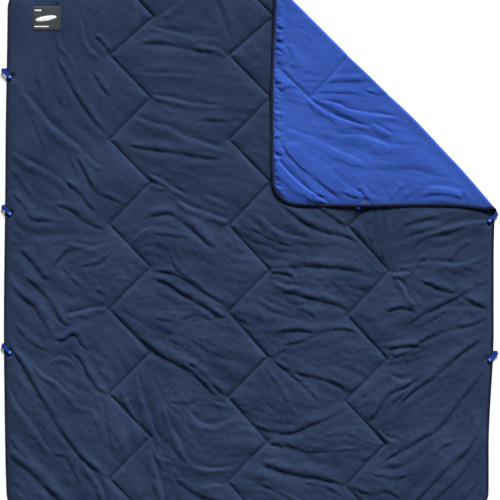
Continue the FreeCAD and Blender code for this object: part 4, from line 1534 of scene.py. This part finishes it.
def ribbon_form():
    """The loop's ribbon as it leaves the edge, turns back on a slanted crease and runs in to its snap.
    Gives its middle surface as (outward, upward, z), its normals, its blend share and its flat places."""
    across = np.linspace(-0.5, 0.5, 9) * RIBBON_WIDTH
    crease_out = RIBBON_CREASE - across * CREASE_LEAN
    normal_out = math.cos(CREASE_TILT)
    normal_up = math.sin(CREASE_TILT)
    back = -math.sqrt(0.5)
    rows = []
    for u in np.linspace(0, 1, 8)[:-1]:
        out = -RIBBON_ROOT + (crease_out + RIBBON_ROOT) * u
        sag = 0.25 * MM * math.sin(math.pi * u)
        rows.append((out, across, RIBBON_AXIS - RIBBON_TURN - sag + 0 * across, (0, 0, -1), 0.0, out))
    for turn in np.linspace(0, math.pi, 13):
        out = crease_out + normal_out * RIBBON_TURN * math.sin(turn)
        up = across + normal_up * RIBBON_TURN * math.sin(turn)
        z = RIBBON_AXIS - RIBBON_TURN * math.cos(turn) + 0 * across
        normal = (normal_out * math.sin(turn), normal_up * math.sin(turn), -math.cos(turn))
        rows.append((out, up, z, normal, turn / math.pi, crease_out + RIBBON_TURN * turn))
    for u in np.linspace(0, 1, 16)[1:]:
        run = (RIBBON_LENGTH - ((crease_out - RIBBON_CREASE) * back + across * back)) * u
        z = RIBBON_AXIS + RIBBON_TURN + 0.3 * MM * math.sin(math.pi * u) + 0 * across
        flat = crease_out + RIBBON_TURN * math.pi + run
        rows.append((crease_out + run * back, across + run * back, z, (0, 0, 1), 1.0, flat))
    middle = np.array([[row[0], row[1], row[2]] for row in rows]).transpose(0, 2, 1)
    normals = np.array([[row[3]] * len(across) for row in rows], float)
    share = np.array([[row[4]] * len(across) for row in rows])
    flat = np.array([np.stack([row[5], across], 1) for row in rows])
    return middle, normals, share, flat


def make_ribbon(name, place):
    """A closed ribbon with a woven edge. place turns (outward, upward, z) into the frame's x, y, z."""
    middle, normals, share, flat = ribbon_form()
    rows, columns = share.shape
    edge = np.ones(columns)
    edge[[0, -1]] = 0.55
    edge[[1, -2]] = 1.12
    half = (RIBBON_THICK / 2 * edge)[None, :, None]
    outer = (middle + normals * half).reshape(-1, 3)
    inner = (middle - normals * half).reshape(-1, 3)
    every = closed_faces(grid_faces(rows, columns), rows * columns)
    vertices = place(np.concatenate([outer, inner]))
    flat = np.tile(flat.reshape(-1, 2), (2, 1))
    return new_piece(name, vertices, every, RIBBON, flat), np.tile(share.ravel(), 2)


def side_loops():
    """The five loops that open about their snaps' straps."""
    for name, side in LOOPS.items():
        joint = JOINTS["snap_strap_" + name]
        level = joint["pos_m"][1]

        def place(points, side=side, level=level):
            return np.stack([side * (HALF_WIDTH + points[:, 0]), level + points[:, 1], points[:, 2]], 1)

        ribbon, share = make_ribbon("ribbon_" + name, place)
        if side > 0:
            ribbon.data.flip_normals()
        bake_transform(ribbon)
        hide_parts("loop_root_" + name, "loop_turn_" + name, "loop_strap_" + name)


def corner_loop():
    """The loop on the turned-over corner, which lies upside down and turns with the corner."""
    level = FOLD_SUM - cad_point("corner_loop_root").x

    def place(points):
        s = HALF_WIDTH + points[:, 0]
        t = level + points[:, 1]
        z = HEM_HEIGHT + FLAP_BINDING_HEIGHT - points[:, 2]
        return np.stack([FOLD_SUM - t, FOLD_SUM - s, z], 1)

    ribbon, _ = make_ribbon("ribbon_corner", place)
    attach(ribbon, "corner")
    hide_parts("corner_loop_root", "corner_loop_turn", "corner_loop_strap")


side_loops()
corner_loop()

for node_name, node in frame["nodes"].items():
    if "snap_cap" in node_name:
        node.material_slots[0].material = SNAP_CAP
    elif "snap_" in node_name:
        node.material_slots[0].material = STEEL


def flat_area(piece):
    """The area of a cloth panel as it was cut, in square metres, from the flat places that it carries."""
    mesh = piece.data
    places = np.zeros(2 * len(mesh.loops), np.float32)
    mesh.uv_layers["cloth"].data.foreach_get("uv", places)
    a, b, c = places.reshape(-1, 3, 2).transpose(1, 0, 2).astype(float)
    u = b - a
    v = c - a
    return float(np.abs(u[:, 0] * v[:, 1] - u[:, 1] * v[:, 0]).sum() / 2)


def declare_cloth():
    """Works out each cloth panel's flat area and keeps none of it. The corner's panels are cut from the
    square that its two edges span, whose side is worked out but not used.
    """
    whole = (2 * HALF_WIDTH, 2 * HALF_LENGTH)
    corner_side = HALF_WIDTH + HALF_LENGTH - FOLD_SUM - ROOT_TWO * CORNER_START
    for piece, flat, rests_on in (
        (lining, whole, []),
        (shell, whole, [padding]),
        (corner_shell, (corner_side, corner_side), [shell]),
        (corner_lining, (corner_side, corner_side), [padding]),
    ):
        flat_area(piece)


declare_cloth()


# ---------------------------------------------------------------- floor, light and camera
def stage_floor():
    """A near-white floor that reaches far past the blanket."""
    paint = Paint("floor", Specular_IOR_Level=0.1)
    place = paint.object_place(1.0)
    cloud = paint.noise(place, 1.2, 2.0)
    colour = paint.ramp(cloud, (0.93, 0.93, 0.93), (0.95, 0.95, 0.95))
    material = paint.finish(colour, paint.span(cloud, 0.85, 0.95))
    size = 60.0
    corners = [(-size, -size, 0), (size, -size, 0), (size, size, 0), (-size, size, 0)]
    floor = new_piece("floor", corners, [(0, 1, 2, 3)], material)


def key_light(elevation, azimuth, strength):
    """A broad, distant soft light from beyond the blanket's top edge, a little right of its middle."""
    data = bpy.data.lights.new("key", "SUN")
    data.angle = math.radians(24)
    data.energy = strength
    lamp = bpy.data.objects.new("key", data)
    height = math.radians(elevation)
    side = math.radians(azimuth)
    level = math.cos(height)
    towards = Vector((math.sin(side) * level, math.cos(side) * level, math.sin(height)))
    lamp.rotation_euler = towards.to_track_quat("Z", "Y").to_euler()
    bpy.context.scene.collection.objects.link(lamp)


def world_light(overhead, horizon):
    """An even dim sky, with a pale band round the horizon as a studio's walls give."""
    world = bpy.data.worlds.new("studio")
    world.use_nodes = True
    nodes = world.node_tree.nodes
    links = world.node_tree.links
    place = nodes.new("ShaderNodeTexCoord")
    apart = nodes.new("ShaderNodeSeparateXYZ")
    fade = nodes.new("ShaderNodeMapRange")
    fade.interpolation_type = "SMOOTHSTEP"
    fade.inputs["From Min"].default_value = 0.16
    fade.inputs["From Max"].default_value = 0.30
    fade.inputs["To Min"].default_value = horizon
    fade.inputs["To Max"].default_value = overhead
    background = nodes["Background"]
    background.inputs["Color"].default_value = (1, 1, 1, 1)
    links.new(place.outputs["Generated"], apart.inputs[0])
    links.new(apart.outputs["Z"], fade.inputs["Value"])
    links.new(fade.outputs["Result"], background.inputs["Strength"])
    bpy.context.scene.world = world


stage_floor()
world_light(0.11, 1.0)
key_light(25, 14, 7.85)

# The camera looks straight down from 4.5 m.
camera_data = bpy.data.cameras.new("camera")
camera_data.lens = 86.3
camera_data.sensor_width = 36
camera = bpy.data.objects.new("camera", camera_data)
camera.location = (0.001, -0.001, 4.5)
bpy.context.scene.collection.objects.link(camera)
bpy.context.scene.camera = camera
bpy.context.scene.view_settings.view_transform = "Standard"
